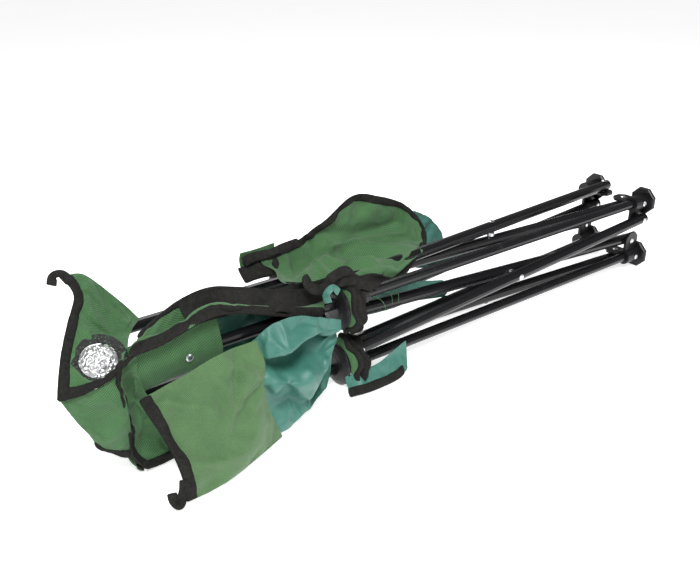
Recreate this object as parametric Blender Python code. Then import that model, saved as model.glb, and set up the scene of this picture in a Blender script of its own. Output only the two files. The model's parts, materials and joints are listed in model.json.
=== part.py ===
"""Folded quad camping armchair lying on its side, as an assembly of separate pieces.

Metres, +Z up.  +X runs from the top of the chair to its feet, +Y from the back of the chair to its
front, so the chair's back faces -Y and one of its sides lies on the ground.  The four corners of the
frame are a (front, upper), b (back, upper), c (back, lower) and d (front, lower).
"""

import math

import bmesh
import bpy
from mathutils import Matrix, Vector

# ---- driving dimensions -------------------------------------------------------------------------
ORIGIN = Vector((0.0440, -0.0160, 0.0))       # moves the folded chair's base centre onto the origin
CORNER = 0.100                              # post axis to post axis, folded
GROUND = 0.0228                             # height of the lower post axes above the ground
CLOTH_LOW = 0.0208                          # height of the lower post axes above the lowest cloth
PIVOT = 0.028                               # post axis to the pivots of its two scissor tubes
TUBE_LONG = 0.630                           # foot pivot to top pivot
TUBE_STUB = 0.010                           # tube beyond its end pivots
TUBE_R = 0.009
TUBE_WALL = 0.001
POST_R = 0.008
EAR = 0.0045                                # thickness of a bracket's ears
TRACK = 0.01175                             # ear plane to the axis of a scissor tube
FOOT_X = 0.450                              # foot pivots
POST_TOP_X = -0.470
ARM_TOP_X = -0.450
POST_END_X = FOOT_X + 0.0095                # back posts end inside their foot sockets
POST_PIN_X = FOOT_X + 0.0045                # blind rivet that holds a back post in its socket
PIN_DEEP = 0.0095                           # blind rivet, from the post axis to its inner end
SCREW_X = -0.424                            # screws that hold the backrest's sleeves
SCREW_REACH = 0.0128                        # post axis to the faces under a screw's heads
BOSS_R = 0.013
SHANK_R = 0.0024
HEAD_R = 0.0050
HEAD_HIGH = 0.0014
GAP = 0.0003                                # running gap between neighbours

FOLDED_ANGLE = math.asin((CORNER - 2 * PIVOT) / TUBE_LONG)
TOP_X = FOOT_X - TUBE_LONG * math.cos(FOLDED_ANGLE)
MID_X = (FOOT_X + TOP_X) / 2

SOCKET_DEEP = 0.017                         # foot socket, beyond its pivots
SOLE_X = FOOT_X + 0.022
SOLE_THICK = 0.0075
SOLE_HALF = 0.0225                          # centre to the flats of the eight-sided sole
SOLE_CHAMFER = 0.0015
FOOT_EAR = 0.016                            # half width of a foot bracket's ears
TOP_EAR = 0.0115                            # half width of an upper bracket's ears
COLLAR_LONG = 0.044
COLLAR_CHAMFER = 0.002
DISC_R = 0.030
DISC_THICK = 0.004
DISC_DOME = 0.0045                          # how far a guard disc bulges towards the chair's top
DISC_SHIFT = 0.0076                         # post axis to the centre of its guard disc
DISC_X = TOP_X - COLLAR_LONG / 2 - DISC_THICK - 0.003
DISC_LEAN = Vector((0.866, 0.44, -0.24))    # the axis of the loose disc on the upper arm post
DISC_LEAN_BACK = 0.010                      # how far that disc stands off its bracket

AXIS_X, AXIS_Y, AXIS_Z = Vector((1, 0, 0)), Vector((0, 1, 0)), Vector((0, 0, 1))
CORNERS = {"a": (CORNER, CORNER), "b": (0, CORNER), "c": (0, 0), "d": (CORNER, 0)}
# face: the corner whose foot holds the outer tube, the other corner, the outward direction
FACES = {
    "ab": ("a", "b", AXIS_Z),
    "bc": ("b", "c", -AXIS_Y),
    "cd": ("c", "d", -AXIS_Z),
    "da": ("d", "a", AXIS_Y),
}


def at(x, y, z):
    """A point given from the axis of post c, in the chair's own frame."""
    return Vector((x, y, z + GROUND)) + ORIGIN


def corner_at(corner, x):
    """A point on a corner's post axis."""
    y, z = CORNERS[corner]
    return at(x, y, z)


def towards(corner, other):
    """The direction from one corner to its neighbour."""
    return (corner_at(other, 0) - corner_at(corner, 0)).normalized()


def pivot_at(corner, other, x):
    """The pivot of a corner's ear that points to a neighbouring corner."""
    return corner_at(corner, x) + towards(corner, other) * PIVOT


# ---- materials ----------------------------------------------------------------------------------
def material(name, colour, roughness, metallic=0.0):
    """A Principled BSDF material."""
    made = bpy.data.materials.new(name)
    made.use_nodes = True
    shader = made.node_tree.nodes["Principled BSDF"]
    shader.inputs["Base Color"].default_value = (*colour, 1)
    shader.inputs["Roughness"].default_value = roughness
    shader.inputs["Metallic"].default_value = metallic
    made.diffuse_color = (*colour, 1)
    return made


def finishes():
    """One material for each finish of the chair."""
    return {
        "tube_paint": material("tube_paint", (0.016, 0.016, 0.018), 0.22),
        "bracket_plastic": material("bracket_plastic", (0.022, 0.022, 0.024), 0.38),
        "rivet_steel": material("rivet_steel", (0.72, 0.73, 0.74), 0.28, 1.0),
        "green_cloth": material("green_cloth", (0.055, 0.22, 0.075), 0.75),
        "foil_liner": material("foil_liner", (0.80, 0.80, 0.82), 0.25, 1.0),
    }


# ---- mesh helpers -------------------------------------------------------------------------------
def align(direction, around=AXIS_Z):
    """The rotation that turns local +Z to a direction, with local +X across `around`."""
    z = direction.normalized()
    x = around.cross(z)
    if x.length < 1e-6:
        x = AXIS_X.cross(z) if abs(z.dot(AXIS_X)) < 0.9 else AXIS_Y.cross(z)
    x.normalize()
    return Matrix((x, z.cross(x), z)).transposed().to_4x4()


def finish_object(name, bm, look=None, smooth=True):
    """Turns a bmesh into an object whose faces point outwards."""
    bmesh.ops.recalc_face_normals(bm, faces=bm.faces)
    mesh = bpy.data.meshes.new(name)
    bm.to_mesh(mesh)
    bm.free()
    if smooth:
        mesh.shade_smooth()
        mesh.set_sharp_from_angle(angle=math.radians(35))
    made = bpy.data.objects.new(name, mesh)
    bpy.context.scene.collection.objects.link(made)
    if look:
        mesh.materials.append(look)
    return made


def add_lathe(bm, profile, sides, place):
    """Adds a turned solid: profile is [(radius, height)], from axis to axis or as a closed ring."""
    closed_ring = profile[0][0] > 0
    rings = []
    for radius, height in profile:
        if radius == 0:
            rings.append([bm.verts.new(place @ Vector((0, 0, height)))])
            continue
        turn = [2 * math.pi * k / sides for k in range(sides)]
        rings.append(
            [bm.verts.new(place @ Vector((radius * math.cos(t), radius * math.sin(t), height)))
             for t in turn]
        )
    pairs = list(zip(rings, rings[1:]))
    if closed_ring:
        pairs.append((rings[-1], rings[0]))
    for low, high in pairs:
        if len(low) == len(high) == 1:
            continue
        for k in range(sides):
            m = (k + 1) % sides
            corners = [low[k % len(low)], low[m % len(low)], high[m % len(high)], high[k % len(high)]]
            bm.faces.new(list(dict.fromkeys(corners)))


def turned(name, profile, sides, place, look):
    """A turned piece with its origin on its own axis."""
    bm = bmesh.new()
    add_lathe(bm, profile, sides, align(place[1]))
    made = finish_object(name, bm, look)
    made.location = place[0]
    return made


def add_prism(bm, outline, low, high, place):
    """Adds a solid with a flat outline [(x, y)] from height low to high."""
    rings = [[bm.verts.new(place @ Vector((x, y, h))) for x, y in outline] for h in (low, high)]
    bm.faces.new(rings[0][::-1])
    bm.faces.new(rings[1])
    count = len(outline)
    for k in range(count):
        m = (k + 1) % count
        bm.faces.new([rings[0][k], rings[0][m], rings[1][m], rings[1][k]])


def circle(radius, sides, centre=(0, 0)):
    """The points of a circle."""
    turn = [2 * math.pi * (k + 0.5) / sides for k in range(sides)]
    return [(centre[0] + radius * math.cos(t), centre[1] + radius * math.sin(t)) for t in turn]


def boolean(target, operation, bm, name):
    """Joins a shape to a piece, or cuts it away; the tool stays as a hidden guide."""
    tool = finish_object(name, bm, smooth=False)
    tool.location = target.location
    tool.hide_render = True
    tool.display_type = "WIRE"
    step = target.modifiers.new(name, "BOOLEAN")
    step.operation = operation
    step.solver = "EXACT"
    step.object = tool
    return tool


def loft(name, sections, look):
    """A plain closed soft solid through a list of four-sided sections."""
    bm = bmesh.new()
    rings = [[bm.verts.new(at(*point)) for point in section] for section in sections]
    for low, high in zip(rings, rings[1:]):
        for k in range(4):
            m = (k + 1) % 4
            bm.faces.new([low[k], low[m], high[m], high[k]])
    bm.faces.new(rings[0][::-1])
    bm.faces.new(rings[-1])
    return finish_object(name, bm, look, smooth=False)


def slab_section(x, y0, y1, z0, z1):
    """A box-like section of a soft solid at one x, with heights from the lowest cloth."""
    low, high = z0 - CLOTH_LOW, z1 - CLOTH_LOW
    return [(x, y0, low), (x, y1, low), (x, y1, high), (x, y0, high)]


# ---- frame --------------------------------------------------------------------------------------
def bar(name, start, end, look, radius, holes=(), hole_axis=None):
    """A steel tube from start to end, with rivet holes across it at the given points."""
    along = end - start
    place = align(along, hole_axis or AXIS_Y)
    sides = 14
    ring = [(radius, 0), (radius, along.length), (radius - TUBE_WALL, along.length),
            (radius - TUBE_WALL, 0)]
    bm = bmesh.new()
    add_lathe(bm, ring, sides, place)
    made = finish_object(name, bm, look)
    made.location = start
    if holes:
        cut = bmesh.new()
        for point in holes:
            across = Matrix.Translation(point - start) @ align(hole_axis)
            add_prism(cut, circle(SHANK_R + GAP, 8), -2 * radius, 2 * radius, across)
        boolean(made, "DIFFERENCE", cut, name + "_drill")
    return made


def scissor_tube(name, foot, top, outward, look):
    """One scissor tube: foot and top are its end pivots, and a third hole is in its middle."""
    along = (top - foot).normalized()
    holes = [foot, (foot + top) / 2, top]
    start, end = foot - along * TUBE_STUB, top + along * TUBE_STUB
    return bar(name, start, end, look, TUBE_R, holes, outward)


def ear_outline(reach, half):
    """A bracket ear with chamfered corners, from the post axis to its pivot and past it."""
    past = reach + half
    cut = half * 0.55
    return [(0, -half), (past - cut, -half), (past, -half + cut), (past, half - cut),
            (past - cut, half), (0, half)]


def bracket(name, corner, x, look, half, profile):
    """A moulded bracket: a round boss on the post and two ears towards the neighbours."""
    bm = bmesh.new()
    add_lathe(bm, profile, 16, align(AXIS_X))
    made = finish_object(name, bm, look)
    made.location = corner_at(corner, x)
    neighbours = [o for pair in FACES.values() for o in pair[:2] if corner in pair[:2] and o != corner]
    for other in neighbours:
        reach = towards(corner, other)
        across = AXIS_X.cross(reach)
        place = Matrix((reach, AXIS_X, across)).transposed().to_4x4()
        ear = bmesh.new()
        add_prism(ear, ear_outline(PIVOT, half), -EAR / 2, EAR / 2, place)
        boolean(made, "UNION", ear, f"{name}_ear_{other}")
        drill = bmesh.new()
        hole = Matrix.Translation(reach * PIVOT) @ align(across)
        add_prism(drill, circle(SHANK_R + GAP, 8), -EAR, EAR, hole)
        boolean(made, "DIFFERENCE", drill, f"{name}_drill_{other}")
    return made


def add_sole(target, name):
    """Joins the thick eight-sided sole to a foot bracket."""
    high = SOLE_X - FOOT_X
    across_corners = 1 / math.cos(math.pi / 8)
    upright = align(AXIS_X)
    sole = bmesh.new()
    wide = circle(SOLE_HALF * across_corners, 8)
    narrow = circle((SOLE_HALF - SOLE_CHAMFER) * across_corners, 8)
    levels = [(narrow, high - SOLE_THICK), (wide, high - SOLE_THICK + SOLE_CHAMFER),
              (wide, high - SOLE_CHAMFER), (narrow, high)]
    rings = [[sole.verts.new(upright @ Vector((a, b, h))) for a, b in ring] for ring, h in levels]
    for low, top in zip(rings, rings[1:]):
        for k in range(8):
            m = (k + 1) % 8
            sole.faces.new([low[k], low[m], top[m], top[k]])
    sole.faces.new(rings[0][::-1])
    sole.faces.new(rings[-1])
    boolean(target, "UNION", sole, name)


def bore(target, name, radius, low, high, aside=0.0):
    """Cuts a post's bore along X from low to high, at a height aside from the piece's origin."""
    cut = bmesh.new()
    add_prism(cut, circle(radius, 14), low, high, Matrix.Translation(AXIS_Z * aside) @ align(AXIS_X))
    boolean(target, "DIFFERENCE", cut, name)


def cross_drill(target, name, direction, x, low, high):
    """Cuts a rivet hole across a post or socket at a distance x from the piece's origin."""
    cut = bmesh.new()
    place = Matrix.Translation(AXIS_X * x) @ align(direction)
    add_prism(cut, circle(SHANK_R + GAP, 8), low, high, place)
    boolean(target, "DIFFERENCE", cut, name)


def head_profile(face, out):
    """The profile of a domed rivet head on a face, from the shank to the axis; out is 1 or -1."""
    return [(SHANK_R, face), (HEAD_R, face), (HEAD_R, face + out * 0.0002),
            (HEAD_R * 0.6, face + out * HEAD_HIGH), (0, face + out * HEAD_HIGH)]


def rivet(name, centre, direction, heads, look, collar=None):
    """A domed rivet along a direction; heads are the heights of the faces that it clamps."""
    low, high = heads
    profile = head_profile(low, -1)[::-1]
    if collar:
        collar_r = 0.0062
        profile += [(SHANK_R, -collar), (collar_r, -collar), (collar_r, collar), (SHANK_R, collar)]
    profile += head_profile(high, 1)
    return turned(name, profile, 10, (centre, direction), look)


def blind_rivet(name, centre, direction, span, look):
    """A rivet with one head, that ends inside the socket."""
    low, high = span
    profile = [(0, low), (SHANK_R, low), *head_profile(high, 1)]
    return turned(name, profile, 10, (centre, direction), look)


# ---- soft pieces --------------------------------------------------------------------------------
def sleeve(name, corner, look):
    """The sewn sleeve of the backrest round the top of a back post."""
    x0, x1 = -0.490, -0.380
    centre = corner_at(corner, (x0 + x1) / 2)
    long = (x1 - x0) / 2
    deep, under, hem = 0.0125, 0.0135, 0.036 if corner == "b" else 0.026
    bm = bmesh.new()
    outline = [(-deep, -under), (deep, -under), (deep, hem * 0.5), (0.004, hem), (-0.004, hem),
               (-deep, hem * 0.5)]
    place = Matrix((AXIS_Y, AXIS_Z, AXIS_X)).transposed().to_4x4()
    add_prism(bm, outline, -long, long, place)
    made = finish_object(name, bm, look, smooth=False)
    made.location = centre
    bore(made, name + "_bore", POST_R + GAP, -2 * long, 2 * long)
    cross_drill(made, name + "_drill", AXIS_Y, SCREW_X - (x0 + x1) / 2, -0.03, 0.03)
    return made


def cup(name, look):
    """The open cup pocket at the front of the upper arm strip."""
    rim = at(-0.5170, 0.030, 0.128 - CLOTH_LOW)
    lean = math.radians(40)
    down = Vector((0, math.sin(lean), -math.cos(lean)))
    radius, deep, wall = 0.036, 0.078, 0.002
    taper = 0.8
    profile = [(radius, 0), (radius, deep * 0.9), (radius * taper, deep), (0, deep),
               (0, deep - wall), (radius * taper - wall, deep - wall),
               (radius - wall, deep * 0.9 - wall), (radius - wall, 0)]
    return turned(name, profile, 16, (rim, down), look)


def soft_solids(look):
    """Plain closed solids for the loose cloth, clear of the frame and of each other."""
    made = {}
    made["back_cloth_c"] = loft("back_cloth_c", [
        slab_section(-0.478, -0.106, -0.050, 0.000, 0.046),
        slab_section(-0.430, -0.092, -0.022, 0.000, 0.052),
        slab_section(-0.300, -0.068, -0.022, 0.000, 0.050),
        slab_section(-0.266, -0.060, -0.022, 0.002, 0.044),
    ], look)
    made["back_cloth_b"] = loft("back_cloth_b", [
        slab_section(-0.492, -0.060, -0.030, 0.054, 0.112),
        slab_section(-0.430, -0.058, -0.0155, 0.054, 0.122),
        slab_section(-0.300, -0.050, -0.0155, 0.054, 0.128),
        slab_section(-0.232, -0.036, -0.020, 0.060, 0.120),
    ], look)
    made["seat_lobe_b"] = loft("seat_lobe_b", [
        slab_section(-0.172, -0.004, 0.052, 0.145, 0.165),
        slab_section(-0.110, -0.006, 0.052, 0.145, 0.190),
        slab_section(-0.020, 0.000, 0.052, 0.145, 0.175),
        slab_section(0.030, 0.020, 0.052, 0.145, 0.156),
    ], look)
    made["seat_lobe_a"] = loft("seat_lobe_a", [
        slab_section(-0.172, 0.053, 0.112, 0.145, 0.190),
        slab_section(-0.105, 0.053, 0.124, 0.145, 0.222),
        slab_section(-0.010, 0.053, 0.124, 0.145, 0.200),
        slab_section(0.040, 0.053, 0.104, 0.145, 0.160),
    ], look)
    made["seat_flap_c"] = loft("seat_flap_c", [
        slab_section(-0.262, -0.046, -0.0305, 0.000, 0.006),
        slab_section(-0.170, -0.056, -0.0305, 0.000, 0.018),
        slab_section(-0.085, -0.040, -0.0305, 0.000, 0.016),
    ], look)
    made["seat_flap_d"] = loft("seat_flap_d", [
        slab_section(-0.140, 0.120, 0.138, 0.000, 0.030),
        slab_section(-0.060, 0.120, 0.134, 0.000, 0.028),
    ], look)
    made["arm_strip_a"] = loft("arm_strip_a", [
        slab_section(-0.478, 0.0135, 0.040, 0.145, 0.166),
        slab_section(-0.380, 0.0135, 0.046, 0.145, 0.172),
        slab_section(-0.238, 0.0135, 0.046, 0.147, 0.158),
    ], look)
    made["arm_strip_d"] = loft("arm_strip_d", [
        slab_section(-0.560, 0.000, 0.050, 0.010, 0.036),
        slab_section(-0.525, -0.028, 0.060, 0.000, 0.038),
        slab_section(-0.494, -0.030, 0.060, 0.000, 0.038),
    ], look)
    return made


# ---- assembly -----------------------------------------------------------------------------------
def carrier(name, location, parent=None):
    """An empty on a joint's axis that carries one moving body."""
    made = bpy.data.objects.new(name, None)
    made.empty_display_size = 0.01
    bpy.context.scene.collection.objects.link(made)
    made.location = location
    adopt(made, parent)
    return made


def adopt(piece, parent):
    """Parents a piece and keeps it where it stands."""
    if parent is None:
        return
    bpy.context.view_layer.update()
    piece.parent = parent
    piece.matrix_parent_inverse = parent.matrix_world.inverted()


def build_tubes(look):
    """The eight scissor tubes, two on each face."""
    tubes = {}
    for face, (first, second, outward) in FACES.items():
        lanes = {"outer": (first, second, outward * TRACK), "inner": (second, first, -outward * TRACK)}
        for lane, (low, high, aside) in lanes.items():
            foot = pivot_at(low, high, FOOT_X) + aside
            top = pivot_at(high, low, TOP_X) + aside
            tubes[face, lane] = scissor_tube(f"tube_{face}_{lane}", foot, top, outward, look)
    return tubes


def build_rivets(look):
    """End rivets for each tube and one crossing rivet on each face."""
    rivets = {}
    for face, (first, second, outward) in FACES.items():
        span = EAR / 2 + GAP
        reach = TRACK + TUBE_R + GAP
        ends = {
            "outer": (first, second, (-span, reach)),
            "inner": (second, first, (-reach, span)),
        }
        for lane, (low, high, heads) in ends.items():
            spots = {"foot": pivot_at(low, high, FOOT_X), "top": pivot_at(high, low, TOP_X)}
            for end, spot in spots.items():
                name = f"rivet_{end}_{face}_{lane}"
                rivets[face, lane, end] = rivet(name, spot, outward, heads, look)
        centre = (pivot_at(first, second, MID_X) + pivot_at(second, first, MID_X)) / 2
        rivets[face, "cross"] = rivet(f"rivet_cross_{face}", centre, outward, (-reach, reach), look,
                                      TRACK - TUBE_R - GAP)
    return rivets


def build_feet(look):
    """The four foot brackets; those under the back posts have a socket."""
    feet = {}
    root = SOLE_X - FOOT_X - SOLE_THICK / 2
    boss = [(0, -SOCKET_DEEP), (BOSS_R, -SOCKET_DEEP), (BOSS_R, root), (0, root)]
    for corner in CORNERS:
        name = f"foot_bracket_{corner}"
        feet[corner] = bracket(name, corner, FOOT_X, look, FOOT_EAR, boss)
        add_sole(feet[corner], name + "_sole")
        if corner in "bc":
            bore(feet[corner], name + "_socket", POST_R + GAP, -2 * SOCKET_DEEP, 0.010)
            cross_drill(feet[corner], name + "_pin", -AXIS_Y, POST_PIN_X - FOOT_X,
                        -PIN_DEEP - GAP, 2 * BOSS_R)
    return feet


def build_tops(look):
    """The four upper brackets, bored for the post that slides or stands in them."""
    tops = {}
    end, cut = COLLAR_LONG / 2, COLLAR_CHAMFER
    collar = [(0, -end), (BOSS_R - cut / 2, -end), (BOSS_R, -end + cut), (BOSS_R, end - cut),
              (BOSS_R - cut / 2, end), (0, end)]
    for corner in CORNERS:
        name = f"top_bracket_{corner}"
        tops[corner] = bracket(name, corner, TOP_X, look, TOP_EAR, collar)
        through = COLLAR_LONG if corner in "bc" else 0.012
        bore(tops[corner], name + "_bore", POST_R + GAP, -COLLAR_LONG, through)
    return tops


def build_posts(look):
    """Two long back posts and two short arm posts."""
    posts = {}
    for corner in "bc":
        end, start = corner_at(corner, POST_END_X), corner_at(corner, POST_TOP_X)
        holes = [corner_at(corner, POST_PIN_X), corner_at(corner, SCREW_X)]
        posts[corner] = bar(f"back_post_{corner}", start, end, look, POST_R, holes, AXIS_Y)
    for corner in "ad":
        end, start = corner_at(corner, TOP_X + 0.0115), corner_at(corner, ARM_TOP_X)
        posts[corner] = bar(f"arm_post_{corner}", start, end, look, POST_R)
    return posts


def build_discs(look):
    """A domed guard disc above each upper bracket, with its post's bore off its centre.

    The cloth pulls the disc on the upper arm post askew.
    """
    discs = {}
    edge = 0.001
    profile = [(0, -DISC_DOME), (DISC_R * 0.45, -DISC_DOME), (DISC_R * 0.72, -DISC_DOME * 0.7),
               (DISC_R * 0.92, -DISC_DOME * 0.15), (DISC_R, edge), (DISC_R, DISC_THICK - edge),
               (DISC_R - edge, DISC_THICK), (0, DISC_THICK)]
    for corner, (_, height) in CORNERS.items():
        name = f"guard_disc_{corner}"
        inward = -DISC_SHIFT if height else DISC_SHIFT
        askew = corner == "a"
        x = DISC_X - (DISC_LEAN_BACK if askew else 0)
        place = (corner_at(corner, x) + AXIS_Z * inward, DISC_LEAN if askew else AXIS_X)
        discs[corner] = turned(name, profile, 24, place, look)
        bore(discs[corner], name + "_bore", POST_R + GAP, -DISC_R, DISC_R, -inward)
    return discs


def main():
    """Builds the folded chair."""
    for old in list(bpy.data.objects):
        bpy.data.objects.remove(old, do_unlink=True)
    looks = finishes()
    tubes = build_tubes(looks["tube_paint"])
    rivets = build_rivets(looks["rivet_steel"])
    feet = build_feet(looks["bracket_plastic"])
    tops = build_tops(looks["bracket_plastic"])
    posts = build_posts(looks["tube_paint"])
    discs = build_discs(looks["bracket_plastic"])
    pins = {c: blind_rivet(f"rivet_post_{c}", corner_at(c, POST_PIN_X), -AXIS_Y,
                           (-PIN_DEEP, BOSS_R + GAP), looks["rivet_steel"]) for c in "bc"}
    screws = {c: rivet(f"sleeve_screw_{c}", corner_at(c, SCREW_X), AXIS_Y,
                       (-SCREW_REACH, SCREW_REACH), looks["rivet_steel"]) for c in "bc"}
    sleeves = {c: sleeve(f"back_sleeve_{c}", c, looks["green_cloth"]) for c in "bc"}
    cloth = soft_solids(looks["green_cloth"])
    holder = cup("cup_pocket", looks["foil_liner"])

    def pivot_of(tube, end):
        first, second, _ = FACES[tube[0]]
        low, high = (first, second) if tube[1] == "outer" else (second, first)
        return pivot_at(low, high, FOOT_X) if end == "foot" else pivot_at(high, low, TOP_X)

    def cross_of(face):
        first, second, _ = FACES[face]
        return (pivot_at(first, second, MID_X) + pivot_at(second, first, MID_X)) / 2

    # each body: name, joint point, parent body, its pieces
    root = carrier("lower_back_corner", corner_at("c", FOOT_X))
    body = {"root": root}

    def add(name, point, parent, pieces):
        body[name] = carrier("carrier_" + name, point, body[parent])
        for piece in pieces:
            adopt(piece, body[name])

    def foot_rivets(corner):
        return [r for (face, lane, *end), r in rivets.items()
                if end == ["foot"] and (FACES[face][0 if lane == "outer" else 1] == corner)]

    def top_rivets(corner):
        return [r for (face, lane, *end), r in rivets.items()
                if end == ["top"] and (FACES[face][1 if lane == "outer" else 0] == corner)]

    for piece in [feet["c"], posts["c"], pins["c"], screws["c"], sleeves["c"], cloth["back_cloth_c"],
                  *foot_rivets("c")]:
        adopt(piece, root)

    def tube_body(name, key, point, parent, with_cross):
        pieces = [tubes[key]] + ([rivets[key[0], "cross"]] if with_cross else [])
        add(name, point, parent, pieces)

    bc_in, bc_out = ("bc", "inner"), ("bc", "outer")
    cd_in, cd_out = ("cd", "inner"), ("cd", "outer")
    ab_in, ab_out = ("ab", "inner"), ("ab", "outer")
    da_in, da_out = ("da", "inner"), ("da", "outer")
    tube_body("bc_inner", bc_in, pivot_of(bc_in, "foot"), "root", True)
    tube_body("bc_outer", bc_out, cross_of("bc"), "bc_inner", False)
    add("foot_b", pivot_of(bc_out, "foot"), "bc_outer",
        [feet["b"], posts["b"], pins["b"], screws["b"], sleeves["b"], *foot_rivets("b")])
    add("top_b", pivot_of(bc_in, "top"), "bc_inner", [tops["b"], discs["b"], *top_rivets("b")])
    add("top_c", pivot_of(bc_out, "top"), "bc_outer", [tops["c"], discs["c"], *top_rivets("c")])
    tube_body("cd_outer", cd_out, pivot_of(cd_out, "foot"), "root", True)
    tube_body("cd_inner", cd_in, cross_of("cd"), "cd_outer", False)
    add("foot_d", pivot_of(cd_in, "foot"), "cd_inner", [feet["d"], *foot_rivets("d")])
    add("top_d", pivot_of(cd_out, "top"), "cd_outer",
        [tops["d"], discs["d"], posts["d"], *top_rivets("d")])
    tube_body("ab_inner", ab_in, pivot_of(ab_in, "foot"), "foot_b", True)
    tube_body("ab_outer", ab_out, cross_of("ab"), "ab_inner", False)
    add("foot_a", pivot_of(ab_out, "foot"), "ab_outer", [feet["a"], *foot_rivets("a")])
    add("top_a", pivot_of(ab_in, "top"), "ab_inner",
        [tops["a"], discs["a"], posts["a"], *top_rivets("a")])
    tube_body("da_outer", da_out, pivot_of(da_out, "foot"), "foot_d", True)
    tube_body("da_inner", da_in, pivot_of(da_in, "foot"), "foot_a", False)
    add("back_gather", corner_at("c", -0.40), "root", [cloth["back_cloth_b"]])
    add("seat_upper", corner_at("b", TOP_X), "top_b", [cloth["seat_lobe_b"]])
    add("seat_upper_front", corner_at("b", TOP_X), "seat_upper", [cloth["seat_lobe_a"]])
    add("seat_lower", corner_at("c", TOP_X), "top_c", [cloth["seat_flap_c"]])
    add("seat_lower_front", corner_at("c", TOP_X), "seat_lower", [cloth["seat_flap_d"]])
    add("arm_upper", corner_at("b", -0.30), "foot_b", [cloth["arm_strip_a"], holder])
    add("arm_lower", corner_at("c", -0.30), "root", [cloth["arm_strip_d"]])


main()
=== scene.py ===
"""Looks of the folded camping armchair: cloth, bindings, cup pocket and the finish of its frame.

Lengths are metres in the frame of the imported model.  Most places are written in the chair's own
coordinates: x runs from the top of the chair to its feet, y from its back to its front, both
counted from the lower back post, and z is the height above the ground that the chair lies on.
"""

from __future__ import annotations

import json
import logging
import math
from dataclasses import dataclass, field
from enum import Enum
from typing import Callable, Sequence

import bmesh
import bpy
import numpy as np
from mathutils import Matrix, Vector, noise


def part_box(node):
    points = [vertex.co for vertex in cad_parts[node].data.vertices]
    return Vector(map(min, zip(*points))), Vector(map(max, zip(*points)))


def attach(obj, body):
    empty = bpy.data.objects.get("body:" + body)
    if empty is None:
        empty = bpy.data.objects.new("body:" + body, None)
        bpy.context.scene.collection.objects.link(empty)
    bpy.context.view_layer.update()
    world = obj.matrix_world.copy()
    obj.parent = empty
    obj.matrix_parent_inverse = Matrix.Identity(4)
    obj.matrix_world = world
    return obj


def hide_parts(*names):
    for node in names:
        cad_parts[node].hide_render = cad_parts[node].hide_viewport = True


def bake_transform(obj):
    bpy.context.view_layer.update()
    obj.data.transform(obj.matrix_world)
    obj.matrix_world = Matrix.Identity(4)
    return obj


LOG = logging.getLogger("armchair")
Point = tuple[float, float, float]
Colour = tuple[float, float, float]

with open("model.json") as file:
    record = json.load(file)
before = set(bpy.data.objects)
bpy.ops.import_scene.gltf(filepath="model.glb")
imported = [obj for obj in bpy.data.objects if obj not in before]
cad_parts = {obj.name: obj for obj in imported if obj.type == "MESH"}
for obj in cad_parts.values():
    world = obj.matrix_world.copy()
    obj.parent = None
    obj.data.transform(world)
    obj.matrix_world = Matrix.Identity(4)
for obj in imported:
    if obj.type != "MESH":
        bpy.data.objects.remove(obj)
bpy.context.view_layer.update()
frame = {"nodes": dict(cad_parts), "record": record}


# ---- places -------------------------------------------------------------------------------------
class Body(str, Enum):
    """The moving bodies that cloth and trim ride on."""

    BACK_LOWER = "lower_back_corner"
    BACK_UPPER = "foot_b"
    BACK_SPREAD = "back_gather"
    SIDE_TUBE = "ab_inner"
    TOP_B = "top_b"
    TOP_C = "top_c"
    SEAT_UPPER = "seat_upper"
    SEAT_UPPER_FRONT = "seat_upper_front"
    SEAT_LOWER = "seat_lower"
    SEAT_LOWER_FRONT = "seat_lower_front"
    ARM_UPPER = "arm_upper"
    ARM_LOWER = "arm_lower"


@dataclass(frozen=True)
class Datum:
    """Reference places of the frame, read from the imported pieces."""

    origin: Vector
    post_b_height: float
    spacing: float

    @classmethod
    def read(cls) -> Datum:
        """Finds the chair's own origin from its two back posts."""
        low, high = (Vector(corner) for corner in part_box("back_post_c"))
        above = sum((Vector(corner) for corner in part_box("back_post_b")), Vector()) / 2
        middle = (low + high) / 2
        top_to_origin, axis_height = 0.470, 0.0208
        origin = Vector((low.x + top_to_origin, middle.y, middle.z - axis_height))
        return cls(origin, axis_height + above.z - middle.z, above.z - middle.z)

    def at(self, x: float, y: float, z: float) -> Vector:
        """A point given in the chair's own coordinates; what lies low settles onto the ground."""
        low = 0.020
        sink = self.origin.z * max(0.0, 1 - z / low)
        return self.origin + Vector((x, y, z - sink))


DATUM = Datum.read()


# ---- shader maths -------------------------------------------------------------------------------
class Wire:
    """A shader socket with arithmetic; every operation adds a Math node."""

    def __init__(self, graph: Graph, socket: bpy.types.NodeSocket) -> None:
        """Wraps a socket of a graph."""
        self.graph = graph
        self.socket = socket

    def _maths(self, operation: str, first: Wire | float, second: Wire | float) -> Wire:
        """Adds one Math node for two values."""
        return self.graph.node("ShaderNodeMath", {"operation": operation}, {0: first, 1: second})

    def __add__(self, other: Wire | float) -> Wire:
        """Sum."""
        return self._maths("ADD", self, other)

    __radd__ = __add__

    def __sub__(self, other: Wire | float) -> Wire:
        """Difference."""
        return self._maths("SUBTRACT", self, other)

    def __mul__(self, other: Wire | float) -> Wire:
        """Product."""
        return self._maths("MULTIPLY", self, other)

    __rmul__ = __mul__

    def wave(self) -> Wire:
        """The sine of the value."""
        return self.graph.node("ShaderNodeMath", {"operation": "SINE"}, {0: self})


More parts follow.
